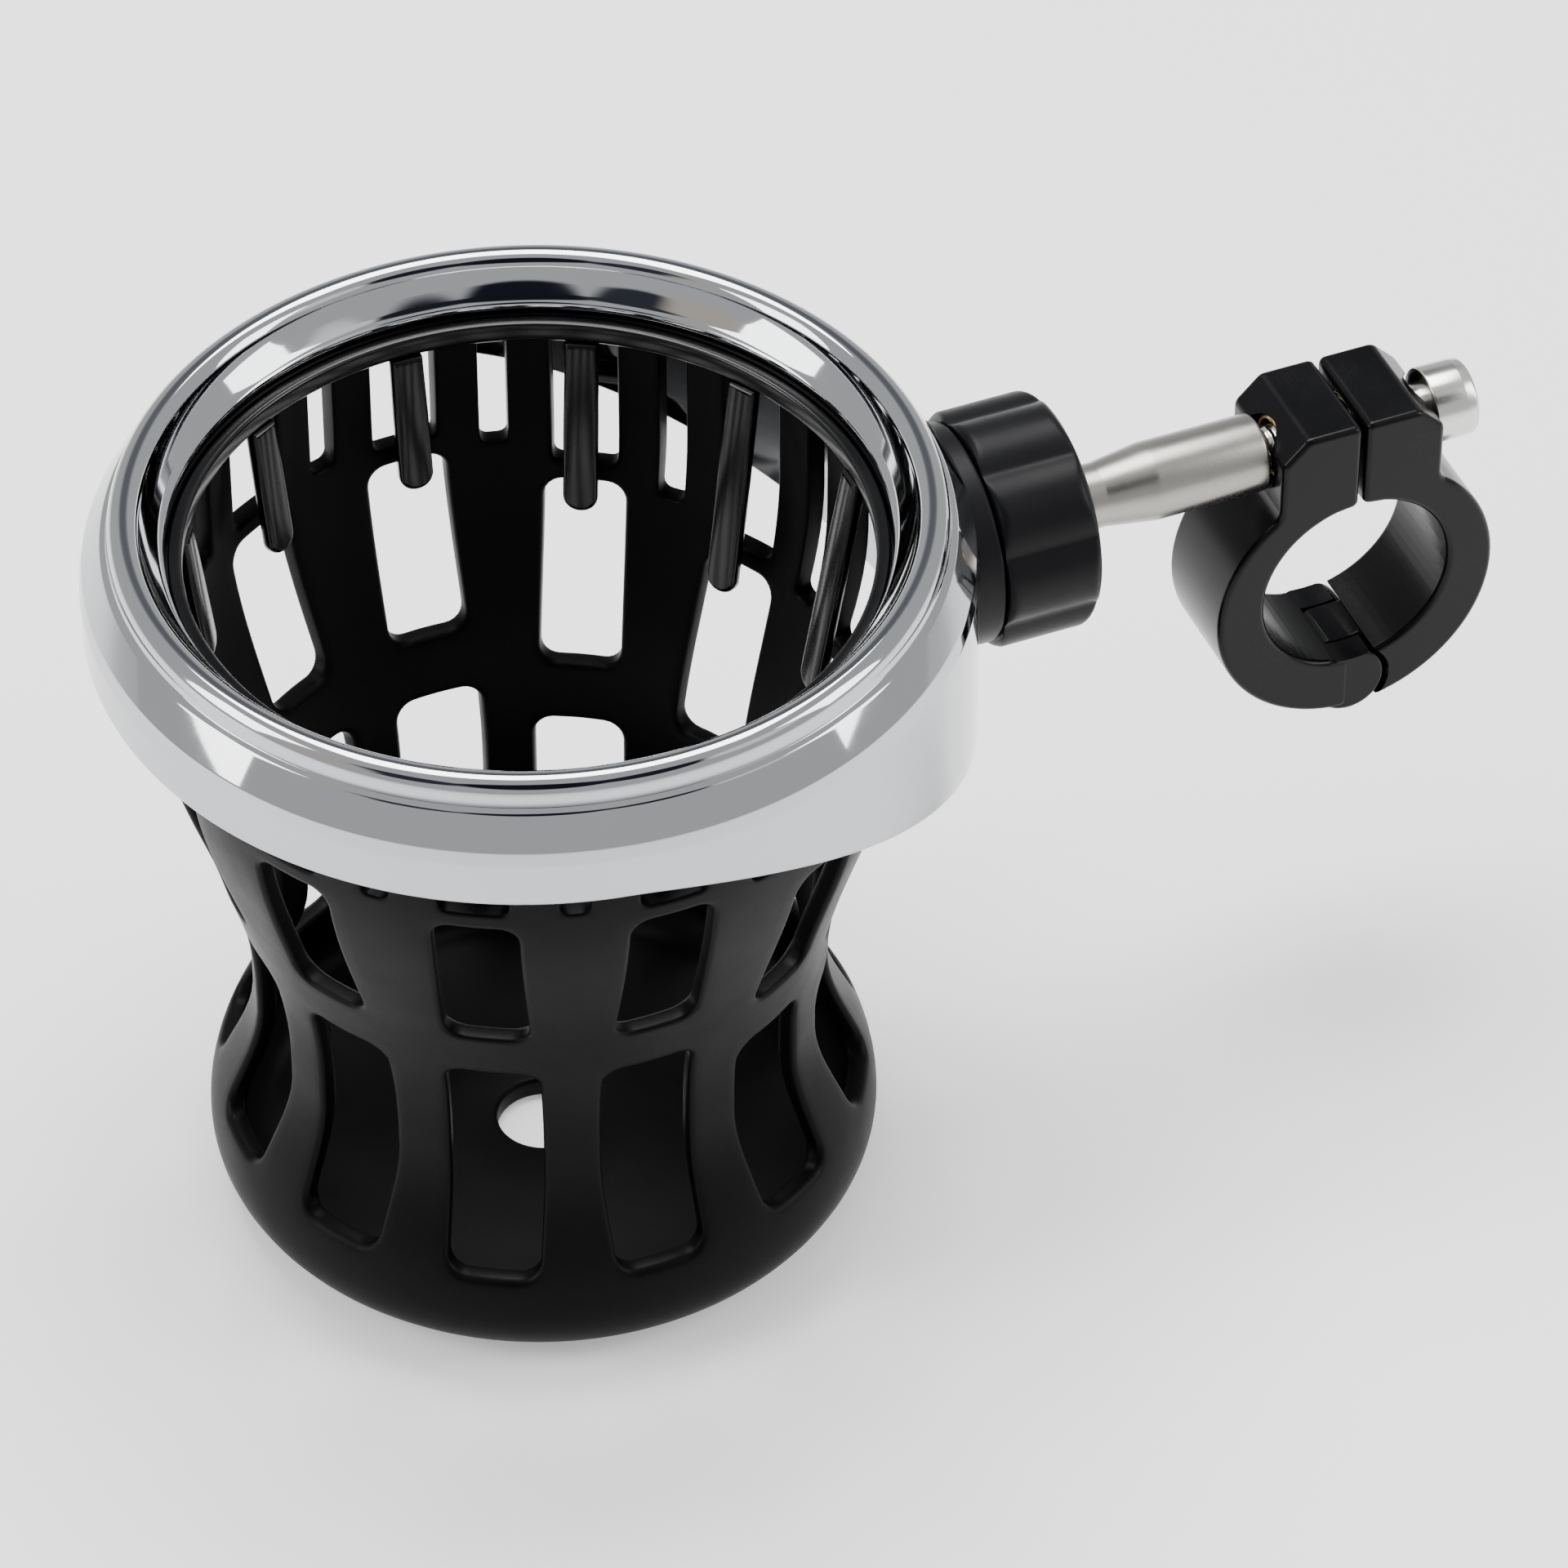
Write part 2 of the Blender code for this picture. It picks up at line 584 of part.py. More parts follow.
def clamp_halves():
    """Both halves hook together opposite their ears: a nub between two cheeks, and a hooked tongue."""
    slot_w = TONGUE_W + 2 * FIT
    inner = clamp_half("clamp_half_inner", -1, CLAMP_BLACK)
    combine(inner, about_bar("cheeks", CHEEK_R, CLAMP_W - 0.2, HINGE_Z, 28), "UNION")
    clamp_bores(inner, "inner")
    combine(inner, about_bar("tongue_slot", TONGUE_R + 0.4, slot_w, HINGE_Z, 28))
    low = (CLAMP_X, -slot_w / 2, HINGE_Z - CHEEK_R - 1)
    high = (CLAMP_X + 8, slot_w / 2, HINGE_Z + CHEEK_R + 1)
    combine(inner, block("tongue_slot_front", low, high, cutter=True))
    combine(inner, about_bar("nub", NUB_R, slot_w + 4, HINGE_Z, 20), "UNION")

    outer = clamp_half("clamp_half_outer", 1, CLAMP_BLACK)
    combine(outer, about_bar("cheek_relief", CHEEK_R + 0.5, CLAMP_W + 4, HINGE_Z, 28))
    combine(outer, about_bar("tongue", TONGUE_R, TONGUE_W, HINGE_Z, 28), "UNION")
    low = (CLAMP_X, -TONGUE_W / 2, HINGE_Z - TONGUE_R + 0.05)
    high = (CLAMP_X + 7.2, TONGUE_W / 2, HINGE_Z + TONGUE_R - 0.05)
    combine(outer, block("tongue_root", low, high, cutter=True), "UNION")
    clamp_bores(outer, "outer")
    combine(outer, about_bar("hook", NUB_R + 0.35, TONGUE_W + 4, HINGE_Z, 20))
    low = (CLAMP_X - NUB_R - 0.3, -TONGUE_W, HINGE_Z - 9)
    high = (CLAMP_X + NUB_R + 0.3, TONGUE_W, HINGE_Z)
    combine(outer, block("hook_opening", low, high, cutter=True))


def clamp_fittings():
    """Brass bushings in both ears and the socket-head screw through them."""
    bush = [(BORE_R - 0.2, EAR_T - 0.5), (BORE_R - 0.2, 0.5), (BUSH_BORE_R, 0.5), (BUSH_BORE_R, EAR_T - 0.5)]
    for number, ear in enumerate((INNER_EAR, OUTER_EAR), 1):
        turned(
            f"bushing_{number}", bush, 28, location=(ear[0], 0, MOUNT_Z), rotation=ALONG_X, material=BRASS
        )
    screw = [(0, HEAD_H), (HEAD_R - 0.5, HEAD_H), (HEAD_R, HEAD_H - 0.5), (HEAD_R, 0), (SCREW_R, 0)]
    screw += [(SCREW_R, 0.8 - SCREW_LENGTH), (SCREW_R - 0.8, -SCREW_LENGTH), (0, -SCREW_LENGTH)]
    placing = {"location": (HEAD_START, 0, MOUNT_Z), "rotation": ALONG_X}
    made = turned("clamp_screw", screw, 32, closed=False, material=STEEL, **placing)
    key_place = (HEAD_END - KEY_DEPTH, 0, MOUNT_Z)
    key = rod("key_socket", KEY_R, KEY_DEPTH + 1, 6, location=key_place, rotation=ALONG_X, cutter=True)
    combine(made, key)


rim_ring()
basket()
grip_hoop()
grip_fingers()
rim_fasteners()
socket_body()
socket_screws()
ball_pieces()
collar_nut()
clamp_halves()
clamp_fittings()
for part in PARTS.objects:
    if part.type == "MESH":
        shade(part.data)
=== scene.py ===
# %% [markdown]
# # A clamp-on cup holder
#
# The holder is a black moulded basket under a chromed rim. Grip fingers hang inside the rim and
# press on the cup. A ball joint on the side of the rim carries a two-part clamp for a round bar.
#
# Every piece has a working model already, with true sizes and joints. This script builds the finer
# pieces that are seen: the same sizes, with rounded edges, real flutes and finishes. Loading the
# working model first means that each piece here can be measured against it and can move with it.

# %% Load the working model
import math

import bmesh
import bpy
from mathutils import Euler, Matrix, Vector


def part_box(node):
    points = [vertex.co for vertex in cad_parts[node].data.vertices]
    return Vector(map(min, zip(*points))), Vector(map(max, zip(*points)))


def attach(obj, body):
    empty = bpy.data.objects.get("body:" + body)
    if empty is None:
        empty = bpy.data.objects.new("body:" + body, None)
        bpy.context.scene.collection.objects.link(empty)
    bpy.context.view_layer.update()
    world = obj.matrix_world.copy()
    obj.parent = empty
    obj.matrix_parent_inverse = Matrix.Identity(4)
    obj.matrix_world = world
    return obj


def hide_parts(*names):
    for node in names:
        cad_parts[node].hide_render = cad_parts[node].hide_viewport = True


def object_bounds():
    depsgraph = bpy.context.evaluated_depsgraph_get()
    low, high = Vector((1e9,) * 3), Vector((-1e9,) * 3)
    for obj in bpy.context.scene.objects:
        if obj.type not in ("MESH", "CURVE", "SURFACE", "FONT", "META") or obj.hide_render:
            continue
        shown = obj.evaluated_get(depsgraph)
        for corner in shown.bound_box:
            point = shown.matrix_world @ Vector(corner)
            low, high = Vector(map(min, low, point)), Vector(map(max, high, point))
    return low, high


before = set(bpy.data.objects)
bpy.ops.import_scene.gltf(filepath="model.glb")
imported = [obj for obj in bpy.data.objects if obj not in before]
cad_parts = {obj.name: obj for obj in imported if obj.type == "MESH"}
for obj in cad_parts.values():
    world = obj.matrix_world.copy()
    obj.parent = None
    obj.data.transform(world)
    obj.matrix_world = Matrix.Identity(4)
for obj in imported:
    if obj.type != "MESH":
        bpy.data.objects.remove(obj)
working_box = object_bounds()
print("working model:", len(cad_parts), "solids, box", working_box)

# %% [markdown]
# ## One place to measure from
#
# A turned ring is easiest to describe by radius and by depth below its top edge, so the axis of the
# cup is the natural place to measure from. The rim is round, so the middle of its box is that axis,
# and the top is the height of the holder above the underside of the basket. Measuring both from the
# working model keeps the fine pieces exactly on top of it. Lengths are in millimetres until the end.

# %% Axis of the cup, top of the rim
MM = 0.001
HEIGHT, RIM_R = 105.0, 54.0
rim_low, rim_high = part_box("rim_ring")
CUP_X = (rim_low.x + rim_high.x) / 2 / MM
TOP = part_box("basket")[0].z / MM + HEIGHT
print(f"cup axis at x {CUP_X:.1f} mm, top {TOP:.1f} mm, rim box {(rim_high - rim_low) / MM}")


def spot(x, y, z):
    """A point given from the cup's axis in millimetres, as a place in the scene."""
    return Vector(((x + CUP_X) * MM, y * MM, z * MM))


# %% [markdown]
# ## Grids of points
#
# Almost every piece here is a ring of some kind: the same loop of points, repeated with a change of
# size and height. Such a shape can be turned with the Screw modifier, but a grid that is built row
# by row also allows a rim whose skirt dips on one side, or a knob whose radius ripples. So one
# helper joins rows of points into faces, and each piece only has to say where its points go.

# %% Rows of points into one mesh
SMOOTH_UP_TO = math.radians(40)


def finish_mesh(name, bm, merge=1e-7):
    """Cleans a mesh, turns its faces outwards, shades it and gives back its object."""
    bmesh.ops.remove_doubles(bm, verts=bm.verts, dist=merge)
    bmesh.ops.dissolve_degenerate(bm, edges=bm.edges, dist=merge)
    bmesh.ops.recalc_face_normals(bm, faces=bm.faces)
    open_edges = sum(1 for edge in bm.edges if len(edge.link_faces) != 2)
    mesh = bpy.data.meshes.new(name)
    bm.to_mesh(mesh)
    bm.free()
    mesh.shade_smooth()
    mesh.set_sharp_from_angle(angle=SMOOTH_UP_TO)
    obj = bpy.data.objects.new(name, mesh)
    bpy.context.scene.collection.objects.link(obj)
    print(f"{name}: {len(mesh.polygons)} faces, {open_edges} open edges")
    return obj


def add_rows(bm, rows, close_rows=True, close_last=False):
    """Faces between neighbouring rows of points; a row of one point is a tip."""
    made = [[bm.verts.new(point) for point in row] for row in rows]
    pairs = list(zip(made, made[1:]))
    if close_last:
        pairs.append((made[-1], made[0]))
    for first, second in pairs:
        count = max(len(first), len(second))
        for i in range(count if close_rows else count - 1):
            corners = [
                first[i % len(first)], first[(i + 1) % len(first)],
                second[(i + 1) % len(second)], second[i % len(second)],
            ]
            unique = list(dict.fromkeys(corners))
            if len(unique) > 2:
                bm.faces.new(unique)
    return made


# %% [markdown]
# ## Rounded corners
#
# A moulded or turned piece has no perfectly sharp corner, and the small radius is what catches the
# light. A Bevel modifier can round corners afterwards, but it struggles where curves meet. Here the
# drawing itself is rounded: each corner of a section carries its own radius, and this helper swaps
# the corner for an arc before anything is turned or extruded.

# %% Round the corners of a drawn section


def rounded(corners, closed=True, steps=5):
    """A section drawn as (a, b, radius) corners, with an arc of points at each corner."""
    points = []
    count = len(corners)
    for i, (a, b, radius) in enumerate(corners):
        here = Vector((a, b))
        if radius <= 0 or (not closed and i in (0, count - 1)):
            points.append(here)
            continue
        back = Vector(corners[i - 1][:2]) - here
        ahead = Vector(corners[(i + 1) % count][:2]) - here
        half = back.angle(ahead) / 2
        reach = min(radius / math.tan(half), back.length * 0.49, ahead.length * 0.49)
        if half > math.radians(88):
            points.append(here)
            continue
        size = reach * math.tan(half)
        middle = here + (back.normalized() + ahead.normalized()).normalized() * size / math.sin(half)
        start = here + back.normalized() * reach - middle
        end = here + ahead.normalized() * reach - middle
        sweep = start.angle_signed(end)
        for step in range(steps + 1):
            turned = Matrix.Rotation(-sweep * step / steps, 2) @ start
            points.append(middle + turned)
    return points


def turned_rows(section, steps, centre, along_x=False):
    """Rows for a section of (radius, distance) points turned about Z, or about X."""
    rows = []
    for radius, distance in section:
        if radius < 1e-6:
            turns = [0.0]
        else:
            turns = [2 * math.pi * i / steps for i in range(steps)]
        row = []
        for turn in turns:
            across, up = radius * math.cos(turn), radius * math.sin(turn)
            offset = (distance, across, up) if along_x else (across, up, distance)
            row.append(spot(*(c + o for c, o in zip(centre, offset))))
        rows.append(row)
    return rows


def turned_piece(name, section, steps, centre, along_x=False, closed=True):
    bm = bmesh.new()
    add_rows(bm, turned_rows(section, steps, centre, along_x), close_last=closed)
    return finish_mesh(name, bm)


# %% [markdown]
# ## Finishes
#
# Real surfaces are never one flat value. Each finish below starts from the Principled shader and
# adds what the material shows up close: a fine grain from the mould or the polishing wheel, slow
# changes of gloss, and a little unevenness in the surface. Image textures could carry this, but
# noise that is worked out in the object's own space has no seams and needs no unwrapping.

# %% A recipe shared by all the finishes


def make_finish(name, dark, light, gloss, grain, grain_height, patch=60.0, metal=0.0, **constants):
    """A finish with two close tones, a range of roughness, and a grain of the given size in 1/m."""
    made = bpy.data.materials.new(name)
    made.use_nodes = True
    nodes, links = made.node_tree.nodes, made.node_tree.links
    shader = nodes["Principled BSDF"]
    shader.inputs["Metallic"].default_value = metal
    for socket, value in constants.items():
        shader.inputs[socket.replace("_", " ")].default_value = value
    place = nodes.new("ShaderNodeTexCoord")

    fine = nodes.new("ShaderNodeTexNoise")
    fine.inputs["Scale"].default_value = grain
    fine.inputs["Detail"].default_value = 3.0
    links.new(place.outputs["Object"], fine.inputs["Vector"])
    slow = nodes.new("ShaderNodeTexNoise")
    slow.inputs["Scale"].default_value = patch
    slow.inputs["Detail"].default_value = 5.0
    slow.inputs["Roughness"].default_value = 0.6
    links.new(place.outputs["Object"], slow.inputs["Vector"])

    tone = nodes.new("ShaderNodeMix")
    tone.data_type = "RGBA"
    tone.inputs["A"].default_value = (*dark, 1)
    tone.inputs["B"].default_value = (*light, 1)
    links.new(slow.outputs["Fac"], tone.inputs["Factor"])
    links.new(tone.outputs["Result"], shader.inputs["Base Color"])

    both = nodes.new("ShaderNodeMath")
    both.operation = "MULTIPLY_ADD"
    both.inputs[1].default_value = 0.4
    links.new(fine.outputs["Fac"], both.inputs[0])
    links.new(slow.outputs["Fac"], both.inputs[2])
    gloss_range = nodes.new("ShaderNodeMapRange")
    gloss_range.inputs["From Min"].default_value = 0.45
    gloss_range.inputs["From Max"].default_value = 0.95
    gloss_range.inputs["To Min"].default_value = gloss[0]
    gloss_range.inputs["To Max"].default_value = gloss[1]
    links.new(both.outputs[0], gloss_range.inputs["Value"])
    links.new(gloss_range.outputs["Result"], shader.inputs["Roughness"])

    bump = nodes.new("ShaderNodeBump")
    bump.inputs["Strength"].default_value = 0.6
    bump.inputs["Distance"].default_value = grain_height
    links.new(fine.outputs["Fac"], bump.inputs["Height"])
    links.new(bump.outputs["Normal"], shader.inputs["Normal"])
    return made


# %% [markdown]
# Chrome plating on the rim is smooth and slightly blue. Its only texture is a very faint
# orange peel, which bends reflections a little, and a haze left by polishing. The plastics differ
# mainly in gloss: the basket comes from a fine-etched mould, the fingers from a polished one, the
# knob is a duller nylon, and the clamp is a glass-filled nylon with a resin-rich, shiny skin.

# %% Chrome and the black plastics
chrome = make_finish(
    "chrome_plating", (0.41, 0.42, 0.44), (0.47, 0.475, 0.49), (0.03, 0.08), 260, 0.000004, metal=1.0
)
basket_plastic = make_finish(
    "etched_basket_plastic", (0.0007, 0.0007, 0.001), (0.0014, 0.0014, 0.0018), (0.36, 0.50),
    3200, 0.000014, IOR=1.5, Specular_IOR_Level=0.075,
)
grip_plastic = make_finish(
    "polished_grip_plastic", (0.0012, 0.0012, 0.0014), (0.002, 0.002, 0.0024), (0.17, 0.22),
    240, 0.0000008, IOR=1.5, Specular_IOR_Level=0.3,
)
knob_nylon = make_finish(
    "knob_nylon", (0.0022, 0.0022, 0.003), (0.004, 0.004, 0.005), (0.33, 0.46),
    2600, 0.00002, IOR=1.5, Specular_IOR_Level=0.13,
)
clamp_nylon = make_finish(
    "glass_filled_nylon", (0.0012, 0.0012, 0.0016), (0.0024, 0.0024, 0.003), (0.18, 0.30),
    2200, 0.000006, IOR=1.5, Specular_IOR_Level=0.14,
)
acetal = make_finish(
    "white_acetal", (0.66, 0.65, 0.61), (0.76, 0.75, 0.71), (0.34, 0.46), 2000, 0.000008, IOR=1.48,
)
print("plated rim, four black plastics, one white")

# %% [markdown]
# The metals keep a trace of how they were made. The stud is nickel plated after tumbling, so it is
# warm grey and soft. The screw is drawn steel with a bright head. The bushings and inserts are
# turned brass, a little darker where hands and air have dulled them.

# %% Metals
nickel = make_finish(
    "tumbled_nickel", (0.27, 0.255, 0.24), (0.35, 0.335, 0.31), (0.24, 0.36), 3600, 0.000014, metal=1.0
)
steel = make_finish(
    "bright_steel", (0.56, 0.55, 0.53), (0.68, 0.67, 0.65), (0.14, 0.26), 3000, 0.000008, metal=1.0
)
brass = make_finish(
    "turned_brass", (0.52, 0.34, 0.13), (0.70, 0.49, 0.22), (0.20, 0.36), 2400, 0.00001, metal=1.0
)
print("nickel, steel, brass")

# %% [markdown]
# ## How the finishes reach the pieces
#
# A fine piece needs three things besides its shape: a finish, the body that it moves with, and the
# name of the solid that it stands for. One short helper does all three, so none is forgotten.

# %% Put a piece in its place


def fit(piece, finish, slot_name, body, *solids):
    piece.data.materials.append(finish)
    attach(piece, body)
    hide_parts(*solids)
    return piece


# %% [markdown]
# ## The chromed rim
#
# The rim is one ring: a round bead on top, a funnel that leads the cup in, a sloping shoulder, and
# a skirt that is short on one side and deep at the ball joint, where it has to carry the load. It
# could be turned and then cut with a curved knife. Moving the lowest points of each section down
# by the right amount is cleaner, because the rolled lower edge then follows the dip all the way.

# %% How the skirt and the windows dip towards the ball joint


def dip_share(across):
    """0 on the side away from the ball joint, rising smoothly to 1 beside it."""
    return max(0.0, (across + 0.148) / 1.148) ** 1.6


SKIRT_SHORT, SKIRT_EXTRA, RIM_WALL = 15.5, 23.0, 2.2


def skirt_depth(turn):
    return SKIRT_SHORT + SKIRT_EXTRA * dip_share(math.cos(turn))


for side in (0, 90, 180):
    print(f"skirt depth at {side} degrees: {skirt_depth(math.radians(side)):.1f} mm")

# %% Section of the rim, from the lip over the bead to the shoulder
BEAD_R, BEAD_TUBE, LIP_R = 48.3, 2.0, 43.6
LIP_UNDER, RIM_UNDER, LIP_SEAT_R = 6.4, 8.6, 46.0
BEAD_LOW = 0.04  # keeps the bead inside the box of the working model


def circle_part(centre, radius, start, end, steps):
    turns = [math.radians(start + (end - start) * i / steps) for i in range(steps + 1)]
    return [(centre[0] + radius * math.cos(t), centre[1] + radius * math.sin(t)) for t in turns]


crown = [(LIP_R + 0.5, -LIP_UNDER), (LIP_R + 0.12, -LIP_UNDER + 0.35)]
crown += circle_part((LIP_R + 0.7, -5.5), 0.7, 190, 112, 8)
crown += [(44.5, -4.25), (45.25, -3.2)]
crown += circle_part((BEAD_R, -BEAD_TUBE - BEAD_LOW), BEAD_TUBE, 168, -8, 26)
shoulder = [
    (50.32, -2.75, 0), (50.5, -3.2, 0.25), (51.2, -3.62, 0.9),
    (53.62, -7.5, 1.4), (RIM_R, -9.4, 2.5), (RIM_R, -13.0, 0),
]
crown += [tuple(p) for p in rounded(shoulder, closed=False, steps=6)]
print("crown of the rim:", len(crown), "points")

# %% Sweep the section round the cup
RIM_STEPS = 288
SKIRT_ROWS = 8
EDGE_ROLL = 0.55


def rim_section(turn):
    """The whole section at one direction: crown, skirt, rolled edge, back of the skirt, underside."""
    depth = skirt_depth(turn)
    start = crown[-1][1]
    section = list(crown)
    for i in range(1, SKIRT_ROWS + 1):
        section.append((RIM_R, start - (depth - EDGE_ROLL + start) * i / SKIRT_ROWS))
    section += circle_part((RIM_R - EDGE_ROLL, -depth + EDGE_ROLL), EDGE_ROLL, 0, -90, 4)[1:]
    inner = RIM_R - RIM_WALL
    section += circle_part((inner + EDGE_ROLL, -depth + EDGE_ROLL), EDGE_ROLL, -90, -180, 4)
    section += [(inner, -RIM_UNDER - 0.6), (inner - 0.6, -RIM_UNDER)]
    section += [(LIP_SEAT_R, -RIM_UNDER), (LIP_SEAT_R, -LIP_UNDER)]
    return section


columns = []
for i in range(RIM_STEPS):
    turn = 2 * math.pi * i / RIM_STEPS
    columns.append([spot(r * math.cos(turn), r * math.sin(turn), TOP + z) for r, z in rim_section(turn)])
bm = bmesh.new()
add_rows(bm, columns, close_rows=True, close_last=True)
fit(finish_mesh("rim", bm), chrome, "rim_chrome", "holder", "rim_ring")

# %% [markdown]
# ## The basket
#
# The basket is a moulded tube with a waist. Two tiers of windows with soft corners leave twelve
# ribs between them, and narrow slots above let the fingers give. Cutting windows with Booleans
# leaves ragged, sharp rims on a curved wall. Instead each window has its own patch of wall: a loop
# round the patch, a loop round the window, and faces between. The loop then turns through the
# thickness of the wall, which rounds both rims of the window exactly.

# %% Side of the basket
NECK_R, WAIST_R, FOOT_R, WALL = 46.4, 36.0, 42.2, 2.8
NECK_END, WAIST_START, WAIST_END, FOOT_TOP = 22.0, 72.0, 76.0, 97.0


def swell(share, low, high):
    return low + (high - low) * (1 - math.cos(math.pi * min(max(share, 0), 1))) / 2


def side_radius(depth):
    """Outer radius of the basket at a depth below the top."""
    if depth < WAIST_START:
        return swell((depth - NECK_END) / (WAIST_START - NECK_END), NECK_R, WAIST_R)
    return swell((depth - WAIST_END) / (FOOT_TOP - WAIST_END), WAIST_R, FOOT_R)


print("basket radius at the neck, waist and foot:", side_radius(15), side_radius(74), side_radius(97))

# %% A wall patch with one window in it
WINDOWS = 12
STEP = math.radians(1.25)
CORNER_STEPS = 3
PATCH_LOOPS = 3
RIM_TURN_STEPS = 4


def window_loop(half, low, high, corner, along, up):
    """A rounded rectangle with as many points as the patch's own edge, from its lower left corner."""
    corner = min(corner, half * 0.98, (high - low) * 0.49)
    middles = [(-half + corner, low + corner), (half - corner, low + corner)]
    middles += [(half - corner, high - corner), (-half + corner, high - corner)]
    points = []
    for side, count in enumerate((along, up, along, up)):
        first, second = middles[side], middles[(side + 1) % 4]
        facing = -90 + 90 * side
        for i in range(CORNER_STEPS):
            turn = math.radians(facing - 45 + 45 * i / CORNER_STEPS)
            points.append((first[0] + corner * math.cos(turn), first[1] + corner * math.sin(turn)))
        straight = count - 2 * CORNER_STEPS
        out = (corner * math.cos(math.radians(facing)), corner * math.sin(math.radians(facing)))
        for i in range(straight + 1):
            share = i / straight
            points.append(tuple(f + (s - f) * share + o for f, s, o in zip(first, second, out)))
        for i in range(1, CORNER_STEPS):
            turn = math.radians(facing + 45 * i / CORNER_STEPS)
            points.append((second[0] + corner * math.cos(turn), second[1] + corner * math.sin(turn)))
    return points


print("points round one window:", len(window_loop(5, 20, 40, 2, 24, 18)))

# %% Patch edges and window loops on the curved wall


def wall_point(turn, depth, into):
    radius = side_radius(depth) - into
    return spot(radius * math.cos(turn), radius * math.sin(turn), TOP - depth)


def patch_edge(middle, half_steps, top, bottom, up):
    """The edge of a patch as (turn, depth) points, from its lower left corner."""
    along = 2 * half_steps
    turns = [middle + STEP * (i - half_steps) for i in range(along + 1)]
    points = [(turn, bottom(turn)) for turn in turns[:-1]]
    right, left = turns[-1], turns[0]
    points += [(right, bottom(right) + (top(right) - bottom(right)) * i / up) for i in range(up)]
    points += [(turn, top(turn)) for turn in reversed(turns[1:])]
    points += [(left, top(left) + (bottom(left) - top(left)) * i / up) for i in range(up)]
    return points


def add_patch(bm, middle, half_steps, up, tops, bottom, window, roll):
    """One patch. tops gives the upper edge outside and inside; window is half width, levels, corner."""
    along = 2 * half_steps
    half, (high_out, high_in), low, corner = window

    def on_wall(grow, into):
        high = high_out + (high_in - high_out) * into / WALL
        loop = window_loop(half + grow, -low - grow, -high + grow, corner + grow, along, up)
        placed = []
        for across, level in loop:
            radius = side_radius(-level) - into
            placed.append((middle + math.asin(across / radius), -level))
        return placed

    rows = []
    for into, top in ((0.0, tops[0]), (WALL, tops[1])):
        edge = patch_edge(middle, half_steps, top, bottom, up)
        rim_loop = on_wall(roll, into)
        side = []
        for k in range(PATCH_LOOPS + 1):
            share = k / PATCH_LOOPS
            side.append([
                wall_point(a[0] + (b[0] - a[0]) * share, a[1] + (b[1] - a[1]) * share, into)
                for a, b in zip(edge, rim_loop)
            ])
        for k in range(1, RIM_TURN_STEPS + 1):
            turn = math.pi / 2 * k / RIM_TURN_STEPS
            sunk = roll * (1 - math.cos(turn))
            depth_in = sunk if into == 0 else WALL - sunk
            loop = on_wall(roll * (1 - math.sin(turn)), depth_in)
            side.append([wall_point(t, d, depth_in) for t, d in loop])
        rows += side if into == 0 else side[::-1]
    add_rows(bm, rows)


print(f"each patch edge point is {math.degrees(STEP):.2f} degrees from the next")

# %% [markdown]
# The windows sit lower on the side of the ball joint, in step with the skirt. The patches share
# their edges, so the line between two tiers has to be level next to each window and may slope only
# across the ribs. The levels below are worked out once per rib and blended in between.

# %% Levels of the tiers
WINDOW_TOP, WINDOW_SILL, LOWER_TOP, LOWER_SILL = 27.0, 51.0, 59.0, 91.0
TOP_DIP, SILL_DIP, LINTEL = 14.0, 15.0, 2.6
PITCH = 2 * math.pi / WINDOWS
LEVEL_HALF = 7 * STEP


def stepped_share(turn):
    """The dip, level over each window and sloping over each rib."""
    number = math.floor(turn / PITCH + 0.5)
    off = turn - number * PITCH
    here = dip_share(math.cos(number * PITCH))
    if abs(off) <= LEVEL_HALF:
        return here
    beyond = dip_share(math.cos((number + (1 if off > 0 else -1)) * PITCH))
    return here + (beyond - here) * (abs(off) - LEVEL_HALF) / (PITCH - 2 * LEVEL_HALF)


def lintel_line(turn):
    return WINDOW_TOP + TOP_DIP * stepped_share(turn) - LINTEL / 2 - 0.1


def belt_line(turn):
    return (WINDOW_SILL + LOWER_TOP) / 2 + SILL_DIP * stepped_share(turn)


def level(depth):
    return lambda turn: depth


print(f"belt between the tiers: {belt_line(math.pi):.1f} to {belt_line(0):.1f} mm below the top")

# %% Put the wall together
NECK_OUT, NECK_IN, FOOT_LINE = 10.9, 9.0, 95.0
bm = bmesh.new()
for number in range(WINDOWS):
    turn = number * PITCH
    share = dip_share(math.cos(turn))
    top, sill = WINDOW_TOP + TOP_DIP * share, WINDOW_SILL + SILL_DIP * share
    lower_top = LOWER_TOP + SILL_DIP * share
    gap_end = top - LINTEL
    add_patch(bm, turn, 12, 18, (lintel_line, lintel_line), belt_line, (5.2, (top, top), sill, 2.4), 0.8)
    add_patch(
        bm, turn, 12, 20, (belt_line, belt_line), level(FOOT_LINE),
        (5.7, (lower_top, lower_top), LOWER_SILL, 2.4), 0.9,
    )
    neck_tops = (level(NECK_OUT), level(NECK_IN))
    add_patch(bm, turn, 7, 16, neck_tops, lintel_line, (4.2, (11.9, 9.9), gap_end, 1.2), 0.5)
    between = turn + PITCH / 2
    slot_end = WINDOW_TOP + TOP_DIP * dip_share(math.cos(between)) - LINTEL
    add_patch(bm, between, 5, 16, neck_tops, lintel_line, (1.8, (11.9, 9.9), slot_end, 1.2), 0.4)
print("basket wall:", len(bm.faces), "faces")

# %% [markdown]
# Above the wall is the flange that the rim is screwed to. Below it the foot turns in to a flat
# floor with a drain hole. Both are plain turned shapes, so they are rows with the same number of
# points as the patches have along their edges, and the whole basket closes into one skin.

